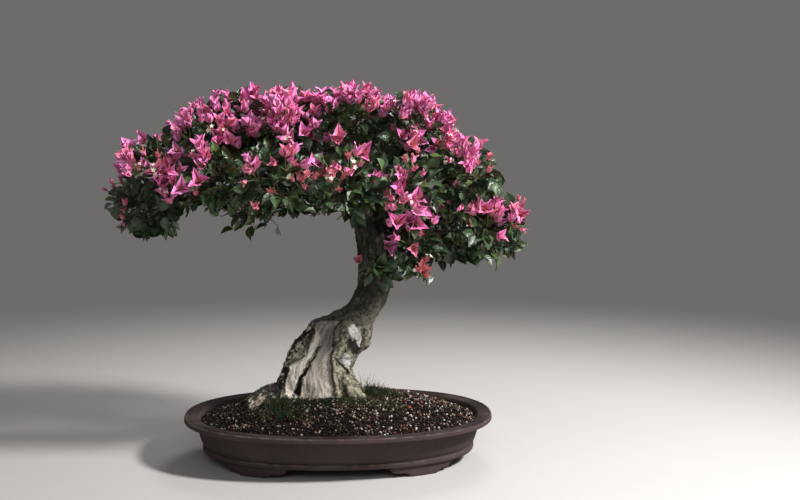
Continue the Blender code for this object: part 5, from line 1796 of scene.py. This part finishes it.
def make_weeds(finishes, rng):
    """A few rosettes of small leaves that lie on the grit."""
    batch = Batch()
    shape = (LEAVES_A_WEED, 3)
    for x, y in WEEDS:
        foot = on_mound(np.array([POT_X + x]), np.array([y]))
        turn = rng.uniform(0, 2 * math.pi, LEAVES_A_WEED)
        ways = np.stack([np.cos(turn), np.sin(turn), rng.uniform(0.3, 1.2, LEAVES_A_WEED)], axis=1)
        lengths = rng.uniform(0.006, 0.010, LEAVES_A_WEED)
        plan = {
            "starts": foot + unit(ways) * rng.uniform(0.002, 0.008, (LEAVES_A_WEED, 1)),
            "ways": ways,
            "uppers": np.broadcast_to(UP, shape),
            "lengths": lengths,
            "widths": lengths * 0.6,
            "nodes": np.broadcast_to(foot, shape),
        }
        add_leaves(batch, plan, rng)
    declare(batch.make("weeds", finishes), "leaf")


def make_ground_plants(moss, leaf):
    """Moss, litter and grass round the foot of the trunk as one piece, and the weeds as another."""
    rng = np.random.default_rng(33)
    batch = Batch()
    add_moss(batch, rng)
    add_litter(batch, rng)
    add_grass(batch, rng)
    declare(batch.make("moss_and_grass", [moss]), "leaf")
    make_weeds(leaf, rng)


# Stage


def make_stage():
    """A plain pale floor that turns into the plain surround far out, so that no horizon shows."""
    mesh = bpy.data.meshes.new("floor")
    corners = [(x * FLOOR_REACH, y * FLOOR_REACH, 0) for x, y in ((-1, -1), (1, -1), (1, 1), (-1, 1))]
    mesh.from_pydata(corners, [], [(0, 1, 2, 3)])
    f = Finish("pale_floor")
    colour = f.mix(f.noise(3.0, 4.0), (0.52, 0.505, 0.495), (0.55, 0.535, 0.525))
    surface = f.done(colour, 0.75, f.bump(f.noise(220.0, 3.0), 0.0005, 0.15))
    glow = f.node("Emission", Color=WORLD_COLOUR, Strength=1.0)
    distance = f.node("VectorMath", Vector=f.place())
    distance.operation = "LENGTH"
    blend = f.node("MixShader", Fac=f.fade(distance.outputs["Value"], 0.75, 2.4))
    f.links.new(f.shader.outputs["BSDF"], blend.inputs[1])
    f.links.new(glow.outputs["Emission"], blend.inputs[2])
    f.links.new(blend.outputs["Shader"], f.nodes["Material Output"].inputs["Surface"])
    floor = add_piece("floor", mesh, [surface])


def add_light(name, place, size, power, colour):
    """A round soft light that faces the tree."""
    light = bpy.data.lights.new(name, "AREA")
    light.shape = "DISK"
    light.size = size
    light.energy = power
    light.color = colour
    holder = bpy.data.objects.new(name, light)
    holder.location = place
    way = Vector(LIGHT_TARGET) - Vector(place)
    holder.rotation_euler = way.to_track_quat("-Z", "Y").to_euler()
    bpy.context.scene.collection.objects.link(holder)


def make_light():
    world = bpy.data.worlds.new("surround")
    world.use_nodes = True
    world.node_tree.nodes["Background"].inputs["Color"].default_value = (*WORLD_COLOUR, 1)
    bpy.context.scene.world = world
    add_light("key", (1.90, -1.05, 2.0), 0.45, 126.0, (1.0, 0.985, 0.965))
    add_light("fill", (0.0, -2.7, 1.6), 1.2, 14.0, (0.98, 0.99, 1.0))
    add_light("back", (0.6, 1.9, 1.9), 1.0, 17.0, (1.0, 1.0, 1.0))
    bpy.context.scene.view_settings.view_transform = "Standard"


def make_camera():
    camera = bpy.data.cameras.new("camera")
    camera.sensor_width = SENSOR_WIDTH
    camera.lens = FOCAL_PIXELS * SENSOR_WIDTH / PHOTO_WIDTH
    holder = bpy.data.objects.new("camera", camera)
    holder.location = tuple(CAMERA_PLACE)
    holder.rotation_euler = CAMERA_TURN
    bpy.context.scene.collection.objects.link(holder)
    bpy.context.scene.camera = holder


def leafy_masses():
    """The CAD pads as one body to cast sight lines at, and the middle of each pad."""
    points = []
    faces = []
    centres = []
    for node in PADS:
        mesh = frame["nodes"][node].data
        first = len(points)
        points += [vertex.co.copy() for vertex in mesh.vertices]
        faces += [tuple(first + corner for corner in polygon.vertices) for polygon in mesh.polygons]
        centres.append(read_blades(node, LEAF_WIDEST)[0].mean(axis=0))
    return BVHTree.FromPolygons(points, faces), np.array(centres)


def wood_tree(tree):
    mesh = tree.data
    return BVHTree.FromPolygons([vertex.co.copy() for vertex in mesh.vertices],
                                [tuple(polygon.vertices) for polygon in mesh.polygons])


def dress_drain_meshes():
    """The two drain meshes stay as the CAD has them, with a finish of their own."""
    finish = drain_mesh_finish()
    for name in DRAIN_MESHES:
        materials = frame["nodes"][name].data.materials
        materials.clear()
        materials.append(finish)


def flower_finishes():
    """The finishes of the open stars and of the flower tubes."""
    cream = plain_finish("flower_cream", (0.78, 0.72, 0.55), (0.86, 0.82, 0.68), 500.0, 0.6,
                         Subsurface_Weight=0.1)
    tube = plain_finish("flower_tube", (0.50, 0.08, 0.16), (0.42, 0.24, 0.12), 180.0, 0.6,
                        Subsurface_Weight=0.1)
    return [cream, tube]


def make_crown(tree):
    """All blooms, buds and leaves. It gives back the finishes of the leaves, for the weeds."""
    twig = twig_finish()
    finishes = {
        "bract": bract_finish("bract_magenta", *MAGENTA),
        "young_bract": bract_finish("bract_coral", *CORAL),
        "stalk": plain_finish("bloom_stalk", (0.060, 0.085, 0.030), (0.120, 0.110, 0.050), 300.0, 0.6),
    }
    pads, centres = leafy_masses()
    blooms = make_blooms(pads, centres, finishes, flower_finishes())
    make_buds(pads, centres, [bract_finish("bract_bud", *BUD_BROWN), twig])
    leaf = [leaf_finish(), twig]
    wood = wood_tree(tree)
    make_leaves(leaf, wood, blooms)
    make_limb_leaves(leaf, tree)
    crown = [piece for piece in bpy.data.objects if piece.name.startswith(CROWN_PIECES)]
    make_gap_leaves(leaf, wood, crown)
    return leaf


def main():
    make_camera()
    make_light()
    make_stage()
    make_pot(clay_finish())
    dress_drain_meshes()
    make_mound(soil_finish())
    make_grains(grain_finish())
    leaf = make_crown(make_tree(bark_finish()))
    make_ground_plants(moss_finish(), leaf)


main()
